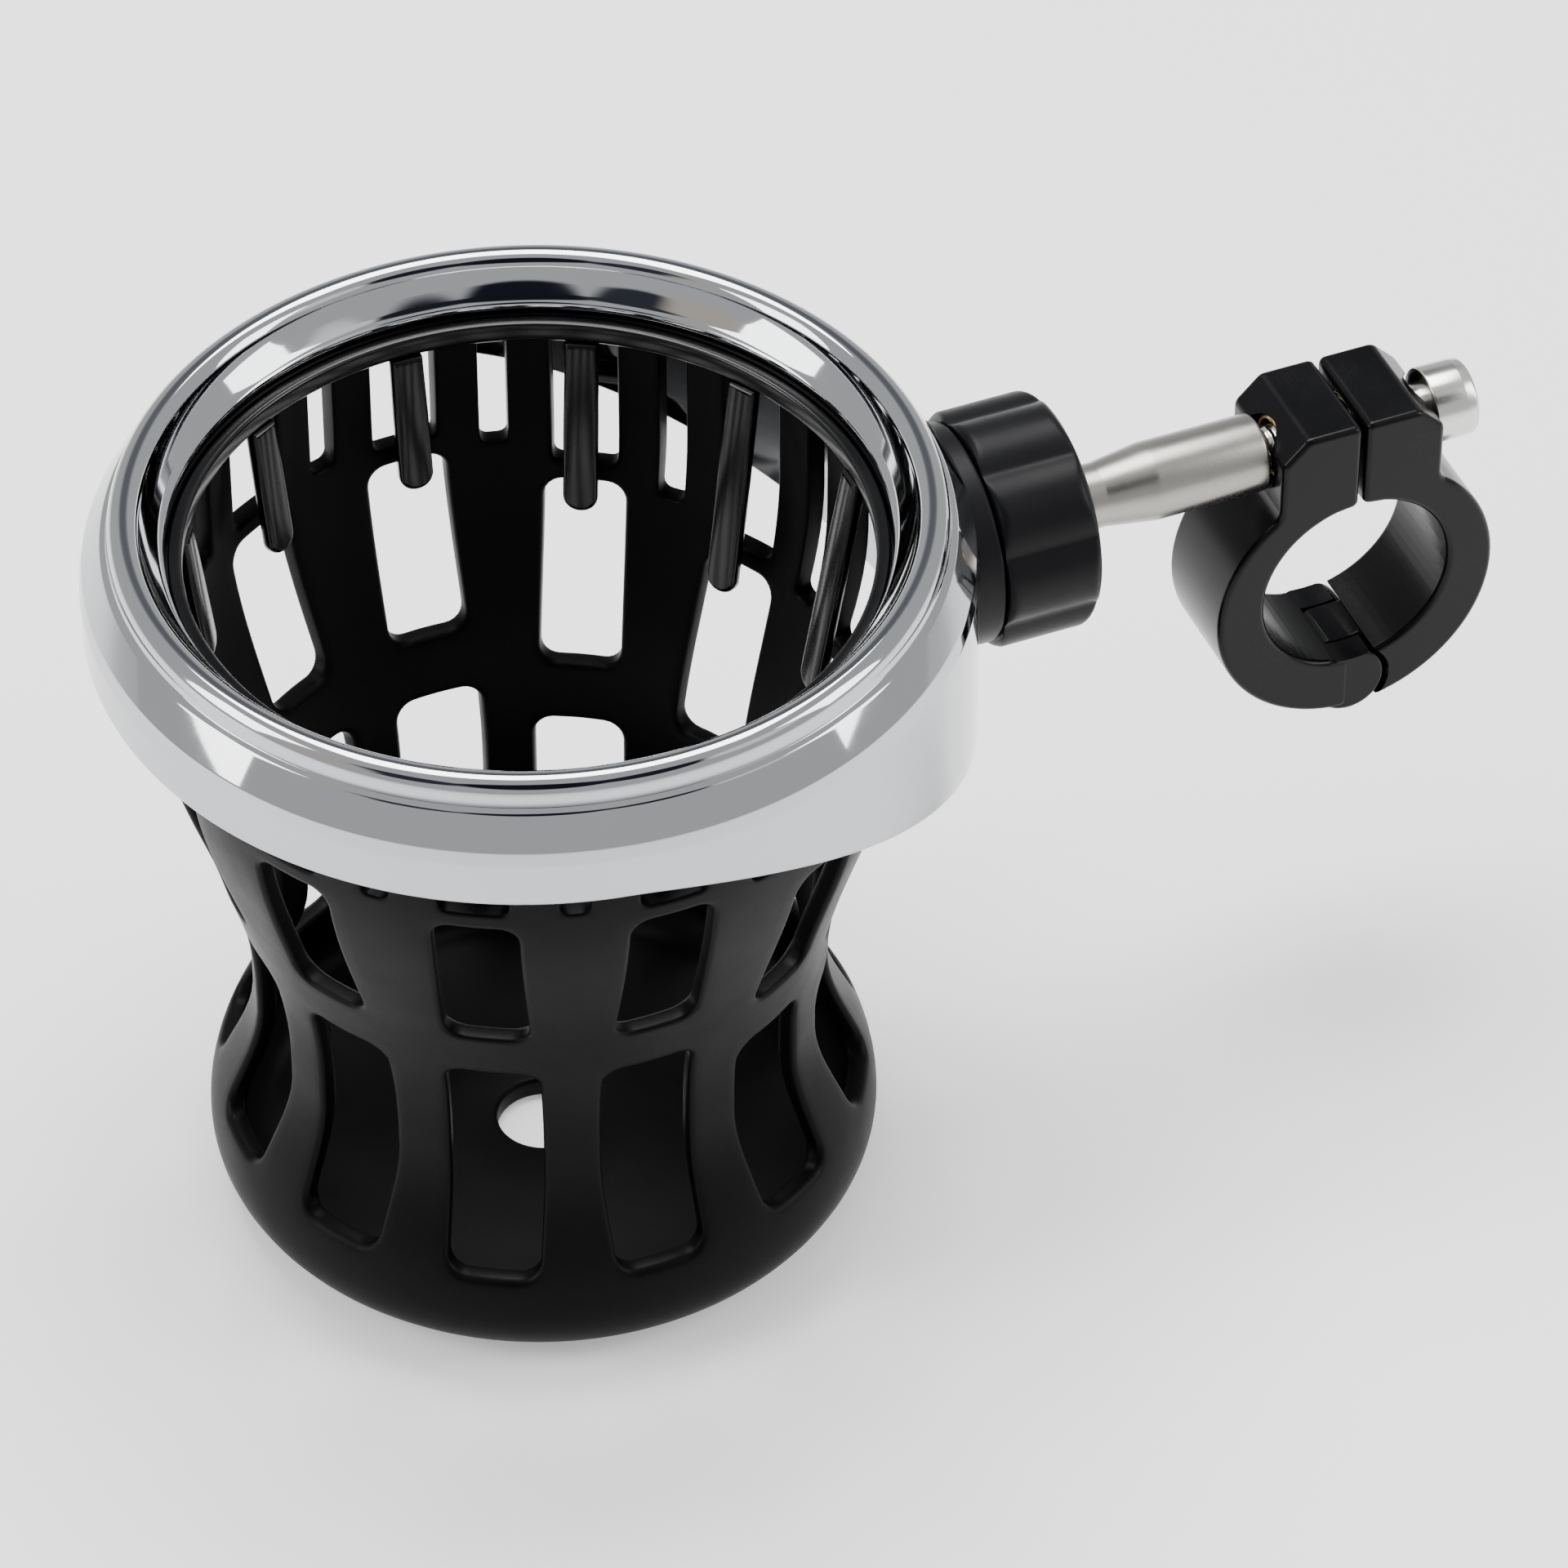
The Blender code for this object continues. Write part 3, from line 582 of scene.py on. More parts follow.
# %% Flange, foot and floor
FLANGE_R, FOOT_ROUND, FLOOR, DRAIN_R = 51.4, 8.0, 3.0, 6.0
FIT = 0.3
around = round(2 * math.pi / STEP)
flange_top = RIM_UNDER + FIT
collar_top = LIP_UNDER + FIT
flange = [
    (NECK_R, -NECK_OUT, 0), (FLANGE_R, -NECK_OUT, 0.5), (FLANGE_R, -flange_top, 0.5),
    (LIP_SEAT_R - FIT, -flange_top, 0.3), (LIP_SEAT_R - FIT, -collar_top, 0.4),
    (NECK_R - WALL, -collar_top, 0.4), (NECK_R - WALL, -NECK_IN, 0),
]
add_rows(bm, turned_rows(rounded(flange, closed=False, steps=3), around, (0, 0, TOP)))

foot = [(side_radius(FOOT_LINE + d), -FOOT_LINE - d) for d in (0, 0.7, 1.4)]
arc_centre = (FOOT_R - FOOT_ROUND, -FOOT_TOP)
foot += circle_part(arc_centre, FOOT_ROUND, 0, -90, 12)
foot += [(24, -TOP), (14, -TOP)]
foot += circle_part((DRAIN_R + 0.6, -TOP + 0.6), 0.6, -90, -180, 3)
foot += circle_part((DRAIN_R + 0.6, -TOP + FLOOR - 0.6), 0.6, 180, 90, 3)
foot += [(14, -TOP + FLOOR), (24, -TOP + FLOOR)]
foot += circle_part(arc_centre, FOOT_ROUND - FLOOR, -90, -8, 9)
foot += [(side_radius(FOOT_LINE + d) - WALL, -FOOT_LINE - d) for d in (1.4, 0.7, 0)]
add_rows(bm, turned_rows(foot, around, (0, 0, TOP)))
fit(finish_mesh("basket_wall", bm, merge=4e-6), basket_plastic, "basket_plastic", "holder", "basket")

# %% [markdown]
# ## Hoop and grip fingers
#
# The fingers are springs: thin tongues that hang from a hoop under the rim and lean into the mouth,
# so that a narrow can and a wide cup are both held. Each is a strip with a rounded end and softened
# edges. An outline that is given thickness needs its rim rounded too, so the outline is drawn a few
# times, each a little smaller, at the levels of a quarter circle.

# %% An outline given thickness, with rolled edges


def shrunk(points, by):
    """The outline moved inwards along its own normals."""
    moved = []
    count = len(points)
    for i, point in enumerate(points):
        back = (Vector(point) - Vector(points[i - 1])).normalized()
        ahead = (Vector(points[(i + 1) % count]) - Vector(point)).normalized()
        across = Vector((-(back + ahead).y, (back + ahead).x)).normalized()
        moved.append(Vector(point) + across * by / max(0.5, across.dot(Vector((-back.y, back.x)))))
    return moved


def rolled_plate(name, outline, thickness, roll, put, steps=4):
    """outline runs anticlockwise; put turns (a, b, height) into a place."""
    bm = bmesh.new()
    rows = []
    for sign in (-1, 1):
        side = []
        for k in range(steps + 1):
            turn = math.pi / 2 * k / steps
            loop = shrunk(outline, roll * (1 - math.sin(turn)))
            height = sign * (thickness / 2 - roll + roll * math.cos(turn))
            side.append([put(p[0], p[1], height) for p in loop])
        rows += side if sign < 0 else side[::-1]
    made = add_rows(bm, rows)
    bm.faces.new(made[0])
    bm.faces.new(made[-1])
    return finish_mesh(name, bm, merge=1e-6)


print("rolled plates ready")

# %% Hoop
HOOP_R, HOOP_T, HOOP_H = 43.25, 1.7, 2.8
hoop_top = -collar_top
hoop_section = [
    (HOOP_R, hoop_top, 0.3), (HOOP_R - HOOP_T, hoop_top, 0.5),
    (HOOP_R - HOOP_T, hoop_top - HOOP_H, 0.7), (HOOP_R, hoop_top - HOOP_H, 0.3),
]
hoop = turned_piece("hoop", rounded(hoop_section, steps=4), 192, (0, 0, TOP))
fit(hoop, grip_plastic, "grip_plastic", "holder", "grip_hoop")

# %% Twelve fingers
FINGER_W, FINGER_T, FINGER_ROOT, FINGER_OVER = 4.4, 1.9, 10.0, 1.5
FINGER_LEAN, MORE_LEAN = 7.0, 3.0
ROOT_UP = 0.35  # the root just meets the hoop
for number in range(WINDOWS):
    turn = number * PITCH
    share = dip_share(math.cos(turn))
    length = WINDOW_TOP + TOP_DIP * share + FINGER_OVER - FINGER_ROOT
    half = FINGER_W / 2
    corners = [
        (-half, -length, half * 0.96), (half, -length, half * 0.96), (half, -length * 0.45, 20),
        (half * 0.94, ROOT_UP, 0.4), (-half * 0.94, ROOT_UP, 0.4), (-half, -length * 0.45, 20),
    ]
    outline = rounded(corners, steps=8)
    lean = math.radians(FINGER_LEAN + MORE_LEAN * share)
    tilt = Euler((math.pi / 2 + lean, 0, turn + math.pi / 2)).to_matrix()
    root_r = HOOP_R - HOOP_T / 2 - 0.2
    root = Vector((root_r * math.cos(turn), root_r * math.sin(turn), TOP - FINGER_ROOT))
    name = f"finger_{number + 1:02d}"
    finger = rolled_plate(
        name, outline, FINGER_T, 0.7, lambda a, b, h: spot(*(root + tilt @ Vector((a, b, h))))
    )
    body = f"grip_finger_{number + 1:02d}"
    fit(finger, grip_plastic, "grip_plastic", body, body)

# %% [markdown]
# ## The ball joint
#
# A flange is screwed to the skirt and ends in a threaded spigot. The ball of the stud sits in a cup
# inside it, and the fluted nut squeezes the ball until it holds. The flange has a back that follows
# the round skirt. A Boolean could cut that; it is simpler to slide each point of the back along the
# axis until it meets the skirt, because the skirt is a plain cylinder there.

# %% Flange and spigot
AXIS_Z = TOP - 23.3
FLANGE_FRONT, SOCKET_R, SPIGOT_R, SPIGOT_END = 56.6, 14.0, 11.4, 64.7
CUP_R, CUP_BOTTOM = 9.7, 55.3
SKIRT_FACE = RIM_R + FIT
SOCKET_STEPS = 120


def skirt_at(radius, turn):
    """Distance from the cup's axis at which a line along the mount meets the skirt."""
    return math.sqrt(SKIRT_FACE**2 - (radius * math.cos(turn)) ** 2)


socket_front = rounded([
    (SOCKET_R, FLANGE_FRONT - 0.7, 0), (SOCKET_R, FLANGE_FRONT, 0.6), (SPIGOT_R, FLANGE_FRONT, 0.3),
    (SPIGOT_R, SPIGOT_END, 0.4), (CUP_R, SPIGOT_END, 0.3), (CUP_R, CUP_BOTTOM, 0.5), (0, CUP_BOTTOM, 0),
], closed=False, steps=4)
rows = []
for radius in (0, 4, 8, 11, 13, SOCKET_R):
    turns = [2 * math.pi * i / SOCKET_STEPS for i in range(SOCKET_STEPS)] if radius else [0.0]
    rows.append([
        spot(skirt_at(radius, t), radius * math.cos(t), AXIS_Z + radius * math.sin(t)) for t in turns
    ])
rows += turned_rows(socket_front, SOCKET_STEPS, (0, 0, AXIS_Z), along_x=True)
bm = bmesh.new()
add_rows(bm, rows)
fit(finish_mesh("socket", bm), knob_nylon, "knob_plastic", "holder", "socket_body")

# %% [markdown]
# The nut is gripped by hand, so it has eight broad lobes with shallow hollows between them, and its
# front edge is rounded off. The radius is a ripple round the axis. Near the front a second radius,
# which shrinks towards the face, takes over. A soft minimum of the two gives the worn-in look of a
# moulded knob, where the lobes melt into the rounded edge with no hard line.

# %% Fluted nut
NUT_BACK, NUT_FRONT, NUT_R, NUT_LOBES, FLUTE = 56.9, 69.6, 15.0, 8, 1.44
NUT_MOUTH_R, NUT_WALL, NUT_LENGTH = 7.4, 1.5, 12.7
FACE_R, FACE_ROUND = 12.6, 3.4
NUT_STEPS = 240


def lobe_radius(turn):
    ripple = (math.cos(NUT_LOBES * turn / 2) ** 2 + 0.015) ** 0.35
    return NUT_R - 0.02 - FLUTE * (1 - min(1.0, ripple))


def soft_least(first, second, blend=0.35):
    gap = max(blend - abs(first - second), 0) / blend
    return min(first, second) - gap * gap * blend / 4


def front_limit(distance):
    """How wide the nut may be this far from its front face."""
    if distance > FACE_ROUND:
        return NUT_R + 2
    return FACE_R + math.sqrt(max(0.0, 1 - (1 - distance / FACE_ROUND) ** 2)) * 3.1


def back_limit(distance):
    return NUT_R - 0.8 + min(distance, 3.0) * 1.4


stations = [0, 0.15, 0.4, 0.8, 1.3, 2.0, 3.2, 4.8, 6.4, 8.0, 9.2]
stations += [9.6, 10.0, 10.4, 10.8, 11.2, 11.6, 11.9, 12.2, 12.4, 12.55, 12.65, NUT_LENGTH]
rows = []
for station in stations:
    row = []
    for i in range(NUT_STEPS):
        turn = 2 * math.pi * i / NUT_STEPS
        radius = soft_least(lobe_radius(turn), front_limit(NUT_LENGTH - station))
        radius = soft_least(radius, back_limit(station))
        row.append(spot(NUT_BACK + station, radius * math.cos(turn), AXIS_Z + radius * math.sin(turn)))
    rows.append(row)
inside = NUT_FRONT - NUT_WALL
nut_bore = rounded([
    (11.6, NUT_FRONT, 0), (NUT_MOUTH_R + 0.9, NUT_FRONT, 0.3), (NUT_MOUTH_R, NUT_FRONT - 0.6, 0.4),
    (NUT_MOUTH_R, inside, 0.2), (SPIGOT_R + FIT, inside, 0.5), (SPIGOT_R + FIT, NUT_BACK, 0.4),
    (13.4, NUT_BACK, 0),
], closed=False, steps=4)
rows += turned_rows(nut_bore, NUT_STEPS, (0, 0, AXIS_Z), along_x=True)
bm = bmesh.new()
add_rows(bm, rows, close_last=True)
fit(finish_mesh("fluted_nut", bm), knob_nylon, "knob_plastic", "collar_nut", "collar_nut")

# %% [markdown]
# The stud is turned from one bar: a ball, a slim neck with a soft fillet, and a shank that swells a
# little towards the clamp. Its far end is drilled and threaded for the screw. It is a plain turned
# section, so only the fillets and the small chamfers need care.

# %% Ball stud
BALL_X, BALL_R, STUD_NECK_R, STUD_END_R, STUD_LENGTH = 64.4, 7.5, 4.1, 5.0, 32.0
STUD_BORE, THREAD_DEPTH = 3.25, 12.0
neck_turn = math.degrees(math.asin((STUD_NECK_R + 0.35) / BALL_R))
ball = [(r, x) for x, r in circle_part((0, 0), BALL_R, 180, neck_turn, 40)]
shank = rounded([
    (ball[-1][0], ball[-1][1], 0), (STUD_NECK_R, 8.2, 1.6), (STUD_NECK_R, 10.4, 2.0),
    (STUD_END_R, 17.0, 6.0), (STUD_END_R, STUD_LENGTH, 0.5), (STUD_BORE + 0.5, STUD_LENGTH, 0.0),
    (STUD_BORE, STUD_LENGTH - 0.5, 0.0), (STUD_BORE, STUD_LENGTH - THREAD_DEPTH, 0.2),
    (0, STUD_LENGTH - THREAD_DEPTH - 1.6, 0),
], closed=False, steps=6)
section = [(abs(r), x) for r, x in ball] + [tuple(p) for p in shank[1:]]
section[0] = (0, -BALL_R)
stud = turned_piece("stud", section, 96, (BALL_X, 0, AXIS_Z), along_x=True, closed=False)
fit(stud, nickel, "stud_nickel", "ball_stud", "ball_stud")

# %% [markdown]
# ## The bar clamp
#
# Two curved halves close round the bar. Opposite the screw they hook together: a round nub between
# two cheeks on one half, and an open hook on the tongue of the other. Each half is drawn as seen
# along the bar and given its width, with rolled edges. The tongue and cheeks are narrower strips of
# the same kind. They are united, and the hole for the screw, flared at both ends, is cut last.

# %% Sizes of the clamp
BAR_R, CLAMP_W, BAND_R, BAND_SHIFT, BAR_DROP = 12.7, 15.0, 19.0, 1.6, 19.5
EAR_T, EAR_RISE, EAR_CHAMFER, SPLIT, HINGE_DROP = 10.8, 6.0, 3.4, 0.6, 36.0
CHEEK_R, TONGUE_R, NUB_R, TONGUE_W, BORE_R = 4.8, 4.1, 1.6, 6.8, 4.5
STUD_END_X = BALL_X + STUD_LENGTH
CLAMP_X = STUD_END_X + FIT + EAR_T + SPLIT / 2
BAR_Z, HINGE_Z = AXIS_Z - BAR_DROP, AXIS_Z - HINGE_DROP
BAND_Z = BAR_Z - BAND_SHIFT
print(f"clamp centre at {CLAMP_X:.1f} mm, bar {BAR_DROP} mm under the screw, hook {HINGE_DROP} mm under it")


def along_bar(a, b, h):
    return spot(a, h, b)


# %% Outline of one half, seen along the bar
CORNER, ROLL = 1.0, 0.8


def band_arc(side, radius, height, start, end, steps=40, clear=2.2):
    """Points on an arc about the bar, without those that crowd a corner at either end."""
    points = []
    for i in range(1, steps):
        turn = start + (end - start) * i / steps
        to_end = radius * abs(end - turn)
        to_start = radius * abs(turn - start)
        if min(to_end, to_start) > clear:
            points.append((side * radius * math.cos(turn), height + radius * math.sin(turn), 0))
    return points


def half_outline(side):
    """Ear, outside of the band, bottom, then back up the bar's side. side -1 is the half by the stud."""
    near = side * SPLIT / 2
    ear = side * (SPLIT / 2 + EAR_T)
    top = AXIS_Z + EAR_RISE
    band_meet = BAND_Z + math.sqrt(BAND_R**2 - ear**2)
    corners = [(near, top, CORNER), (ear - side * EAR_CHAMFER, top, 1.6), (ear, top - EAR_CHAMFER, 1.6)]
    corners.append((ear, band_meet, 2.5))
    start, end = math.atan2(band_meet - BAND_Z, abs(ear)), -math.acos(SPLIT / 2 / BAND_R)
    corners += band_arc(side, BAND_R, BAND_Z, start, end)
    corners.append((near, BAND_Z + BAND_R * math.sin(end), CORNER))
    low = math.acos(SPLIT / 2 / BAR_R)
    corners.append((near, BAR_Z - BAR_R * math.sin(low), CORNER))
    corners += band_arc(side, BAR_R, BAR_Z, -low, low)
    corners.append((near, BAR_Z + BAR_R * math.sin(low), CORNER))
    return [(CLAMP_X + a, b) for a, b in rounded(corners, steps=5)]


def anticlockwise(points):
    area = sum(a[0] * b[1] - b[0] * a[1] for a, b in zip(points, points[1:] + points[:1]))
    return points if area > 0 else points[::-1]


for side in (-1, 1):
    print("half outline:", len(half_outline(side)), "points")

# %% Helpers to unite and cut


def strip(name, corners, width, roll=0.5, steps=8):
    """A strip drawn along the bar's direction from (x, z, radius) corners about the clamp's centre."""
    outline = anticlockwise([(CLAMP_X + a, b) for a, b in rounded(corners, steps=steps)])
    return rolled_plate(name, outline, width, roll, along_bar)


def disc(name, radius, width, height, roll=0.0, across=0.0):
    outline = [
        (CLAMP_X + across + radius * math.cos(t), height + radius * math.sin(t))
        for t in [2 * math.pi * i / 64 for i in range(64)]
    ]
    return rolled_plate(name, outline, width, max(roll, 0.01), along_bar)


def combine(piece, other, operation):
    """Unites with, or cuts by, another mesh, keeps the result and drops the other."""
    step = piece.modifiers.new(operation.lower(), "BOOLEAN")
    step.operation = operation
    step.object = other
    step.solver = "EXACT"
    graph = bpy.context.evaluated_depsgraph_get()
    result = bpy.data.meshes.new_from_object(piece.evaluated_get(graph))
    piece.modifiers.clear()
    piece.data = result
    print(f"  {operation.lower()} with {other.name}: {len(result.polygons)} faces")
    bpy.data.objects.remove(other, do_unlink=True)
    return piece


FLARE, FLARE_TURNS = 0.4, (0, 0.5, 1.0, 1.57)


def screw_hole(name, start, end):
    """A hole along the screw's axis with a small flare at both faces."""
    section = [(0, start - 1), (BORE_R + 1.4, start - 1)]
    for t in FLARE_TURNS:
        section.append((BORE_R + FLARE - FLARE * math.sin(t), start + FLARE - FLARE * math.cos(t)))
    for t in FLARE_TURNS:
        section.append((BORE_R + FLARE - FLARE * math.cos(t), end - FLARE + FLARE * math.sin(t)))
    section += [(BORE_R + 1.4, end + 1), (0, end + 1)]
    return turned_piece(name, section, 96, (0, 0, AXIS_Z), along_x=True, closed=False)


print("clamp helpers ready")

# %% Half by the stud, with the nub between two cheeks
slot_w = TONGUE_W + 2 * FIT
inner = rolled_plate("clamp_inner", anticlockwise(half_outline(-1)), CLAMP_W, ROLL, along_bar)
combine(inner, disc("cheeks", CHEEK_R, CLAMP_W - 0.2, HINGE_Z, 0.7), "UNION")
combine(inner, disc("bar_way", BAR_R, CLAMP_W + 4, BAR_Z), "DIFFERENCE")
combine(inner, disc("tongue_room", TONGUE_R + 0.4, slot_w, HINGE_Z), "DIFFERENCE")
low_corner, high_corner = HINGE_Z - CHEEK_R - 1, HINGE_Z + CHEEK_R + 1
room = [(0, low_corner, 0), (8, low_corner, 0), (8, high_corner, 0), (0, high_corner, 0)]
combine(inner, strip("tongue_way", room, slot_w, 0.01), "DIFFERENCE")
combine(inner, disc("nub", NUB_R, slot_w + 4, HINGE_Z), "UNION")
ear_start = STUD_END_X + FIT
combine(inner, screw_hole("inner_hole", ear_start, ear_start + EAR_T), "DIFFERENCE")
print("inner half:", len(inner.data.polygons), "faces")

# %% Outer half, with the tongue and its open hook
outer = rolled_plate("clamp_outer", anticlockwise(half_outline(1)), CLAMP_W, ROLL, along_bar)
combine(outer, disc("cheek_room", CHEEK_R + 0.5, CLAMP_W + 4, HINGE_Z), "DIFFERENCE")
root = [(0, HINGE_Z - TONGUE_R + 0.05, 0), (7.2, HINGE_Z - TONGUE_R + 0.05, 0)]
root += [(7.2, HINGE_Z + TONGUE_R - 0.05, 0), (0, HINGE_Z + TONGUE_R - 0.05, 0)]
tongue = disc("tongue", TONGUE_R, TONGUE_W, HINGE_Z, 0.4)
combine(tongue, strip("tongue_root", root, TONGUE_W, 0.4), "UNION")
combine(outer, tongue, "UNION")
combine(outer, disc("bar_way", BAR_R, CLAMP_W + 4, BAR_Z), "DIFFERENCE")
combine(outer, disc("hook", NUB_R + 0.35, TONGUE_W + 4, HINGE_Z), "DIFFERENCE")
gape = NUB_R + 0.3
opening = [(-gape, HINGE_Z - 9, 0), (gape, HINGE_Z - 9, 0), (gape, HINGE_Z, 0), (-gape, HINGE_Z, 0)]
combine(outer, strip("hook_opening", opening, 2 * TONGUE_W, 0.01), "DIFFERENCE")
far_ear = ear_start + EAR_T + SPLIT
combine(outer, screw_hole("outer_hole", far_ear, far_ear + EAR_T), "DIFFERENCE")
print("outer half:", len(outer.data.polygons), "faces")

# %% [markdown]
# Uniting and cutting leaves long thin faces beside the cuts, and smooth shading would smear across
# them. Marking every edge sharper than forty degrees keeps the flats flat, and weighting the
# normals by the size of the faces keeps the rolled edges crisp and the broad faces quiet.

# %% Shade the halves
for piece, body in ((inner, "clamp_half_inner"), (outer, "clamp_half_outer")):
    bm = bmesh.new()
    bm.from_mesh(piece.data)
    bmesh.ops.remove_doubles(bm, verts=bm.verts, dist=2e-6)
    bmesh.ops.dissolve_degenerate(bm, edges=bm.edges, dist=1e-6)
    open_edges = sum(1 for edge in bm.edges if len(edge.link_faces) != 2)
    bm.to_mesh(piece.data)
    bm.free()
    piece.data.shade_smooth()
    piece.data.set_sharp_from_angle(angle=SMOOTH_UP_TO)
    weighted = piece.modifiers.new("weighted_normals", "WEIGHTED_NORMAL")
    weighted.keep_sharp = True
    piece.data.materials.clear()
    fit(piece, clamp_nylon, "clamp_plastic", body, body)
    print(piece.name, "has", open_edges, "open edges")

# %% [markdown]
# ## Screw and bushings
#
# A socket-head screw pulls the ears together. Its head has a hexagon pocket and a rounded crown.
# The pocket could be cut with a six-sided prism, but the rows can also change shape on the way in:
# the outer rows are circles and the pocket rows are hexagons with the same number of points.

# %% Socket-head screw
HEAD_R, HEAD_H, SCREW_R, SCREW_LENGTH, KEY_R, KEY_DEPTH = 5.0, 6.0, 3.0, 30.0, 2.9, 3.2
HEAD_START = far_ear + EAR_T + FIT
SCREW_STEPS = 96
THREAD_PITCH, THREAD_HIGH = 1.0, 0.28


def hexagon(turn, corner_r):
    """Radius of a hexagon in a direction."""
    slice_turn = (turn % (math.pi / 3)) - math.pi / 6
    return corner_r * math.cos(math.pi / 6) / math.cos(slice_turn)


def axis_row(x, radius_at):
    turns = [2 * math.pi * i / SCREW_STEPS for i in range(SCREW_STEPS)]
    return [spot(x, radius_at(t) * math.cos(t), AXIS_Z + radius_at(t) * math.sin(t)) for t in turns]


pocket = [(KEY_DEPTH + 0.7, 0.05), (KEY_DEPTH + 0.1, 1.5), (KEY_DEPTH, KEY_R - 0.15)]
pocket += [(KEY_DEPTH - 0.2, KEY_R), (0.5, KEY_R), (0.25, KEY_R + 0.12)]
rows = [[spot(HEAD_START + HEAD_H - KEY_DEPTH - 0.8, 0, AXIS_Z)]]
for sunk, corner_r in pocket:
    rows.append(axis_row(HEAD_START + HEAD_H - sunk, lambda t, c=corner_r: hexagon(t, c)))
head = rounded([
    (KEY_R + 0.75, HEAD_H, 0), (HEAD_R - 0.15, HEAD_H, 0.75), (HEAD_R, HEAD_H - 1.6, 0.8),
    (HEAD_R, 0, 0.35), (SCREW_R, 0, 0.0), (SCREW_R, -0.6, 0),
], closed=False, steps=5)
for radius, distance in head:
    rows.append(axis_row(HEAD_START + distance, lambda t, r=radius: r))
thread_from, thread_to = -(SCREW_LENGTH - 14.0), -(SCREW_LENGTH - 0.9)
rows.append(axis_row(HEAD_START + thread_from + 0.4, lambda t: SCREW_R))
count = int((thread_from - thread_to) / THREAD_PITCH * 8)
for i in range(count + 1):
    along = thread_from + (thread_to - thread_from) * i / count
    fade = min(1.0, i / 6, (count - i) / 6)

    def thread_radius(t, along=along, fade=fade):
        phase = (along / THREAD_PITCH - t / (2 * math.pi)) % 1.0
        return SCREW_R - THREAD_HIGH * fade * abs(2 * phase - 1) ** 0.8

    rows.append(axis_row(HEAD_START + along, thread_radius))
rows.append(axis_row(HEAD_START - SCREW_LENGTH, lambda t: SCREW_R - 0.8))
rows.append([spot(HEAD_START - SCREW_LENGTH, 0, AXIS_Z)])
bm = bmesh.new()
add_rows(bm, rows)
fit(finish_mesh("socket_head_screw", bm), steel, "screw_steel", "clamp_screw", "clamp_screw")

# %% Brass bushings in the ears
BUSH_BORE_R, AT_SPLIT, AT_CHAMFER = 3.6, 0.5, 1.8
bush_ends = (
    (ear_start + AT_CHAMFER, ear_start + EAR_T - AT_SPLIT, "clamp_half_inner"),
    (far_ear + AT_SPLIT, far_ear + EAR_T - AT_CHAMFER, "clamp_half_outer"),
)
for number, (start, end, body) in enumerate(bush_ends, 1):
    section = rounded([
        (BORE_R - 0.2, start, 0.25), (BORE_R - 0.2, end, 0.25),
        (BUSH_BORE_R, end, 0.25), (BUSH_BORE_R, start, 0.25),
    ], steps=4)
    bush = turned_piece(f"bushing_ring_{number}", section, 96, (0, 0, AXIS_Z), along_x=True)
    fit(bush, brass, "brass", body, f"bushing_{number}")

# %% [markdown]
# ## Pieces that stay as they are
#
# The seat and ring around the ball, the small screws and the brass inserts are nearly hidden, and
# their working shapes are already right. They only need their finishes.

# %% Finishes for the small inner pieces
inner_finishes = {"ball_seat": acetal, "compression_ring": acetal}
for number in (1, 2, 3, 4):
    inner_finishes[f"rim_insert_{number}"] = brass
    inner_finishes[f"rim_screw_{number}"] = steel
for number in (1, 2):
    inner_finishes[f"socket_screw_{number}"] = steel
for name, finish in inner_finishes.items():
    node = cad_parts[name]
    for material_slot in node.material_slots:
        material_slot.link = "OBJECT"
        material_slot.material = finish
shown = [name for name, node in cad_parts.items() if not node.hide_render]
print("working solids still shown:", sorted(shown))

# %% [markdown]
# ## Floor, light and camera
#
# Chrome shows only what stands around it. A white room alone makes it look like grey paint, so the
# sky is a simple studio: pale all round, with dark blue-grey areas high on the camera's side and
# one behind for the rim to mirror. Large soft lamps then draw the highlights on the plastics.

# %% Floor
FLOOR_HALF = 6.0
bm = bmesh.new()
bmesh.ops.create_grid(bm, x_segments=8, y_segments=8, size=FLOOR_HALF)
floor_mesh = bpy.data.meshes.new("floor")
bm.to_mesh(floor_mesh)
bm.free()
floor = bpy.data.objects.new("floor", floor_mesh)
bpy.context.scene.collection.objects.link(floor)
floor.location.z = working_box[0][2] - 0.0002
floor_paint = make_finish(
    "pale_floor", (0.90, 0.90, 0.90), (0.92, 0.92, 0.92), (0.7, 0.8), 300, 0.00001, patch=3,
    Emission_Color=(1, 1, 1, 1), Emission_Strength=0.35,
)
floor.data.materials.append(floor_paint)
print("floor", 2 * FLOOR_HALF, "m across")

# %% Camera
AZIMUTH, ELEVATION, DISTANCE = math.radians(-20.3), math.radians(40.4), 1.0
back = Vector((
    math.sin(AZIMUTH) * math.cos(ELEVATION), -math.cos(AZIMUTH) * math.cos(ELEVATION), math.sin(ELEVATION)
))
cup_mouth = spot(0, 0, TOP)
aim = Vector((-0.003, 0.001, 0.047))
camera_data = bpy.data.cameras.new("camera")
camera_data.lens = 192.6
camera_data.sensor_width = 36.0
camera_data.clip_start = 0.01
camera = bpy.data.objects.new("camera", camera_data)
bpy.context.scene.collection.objects.link(camera)
camera.location = cup_mouth + back * DISTANCE
camera.rotation_euler = (camera.location - aim).to_track_quat("Z", "Y").to_euler()
bpy.context.scene.camera = camera
print("camera at", tuple(round(v, 3) for v in camera.location))

# %% Studio sky
world = bpy.data.worlds.new("studio")
bpy.context.scene.world = world
world.use_nodes = True
sky, wires = world.node_tree.nodes, world.node_tree.links
sky_shader = sky["Background"]
looking = sky.new("ShaderNodeTexCoord")


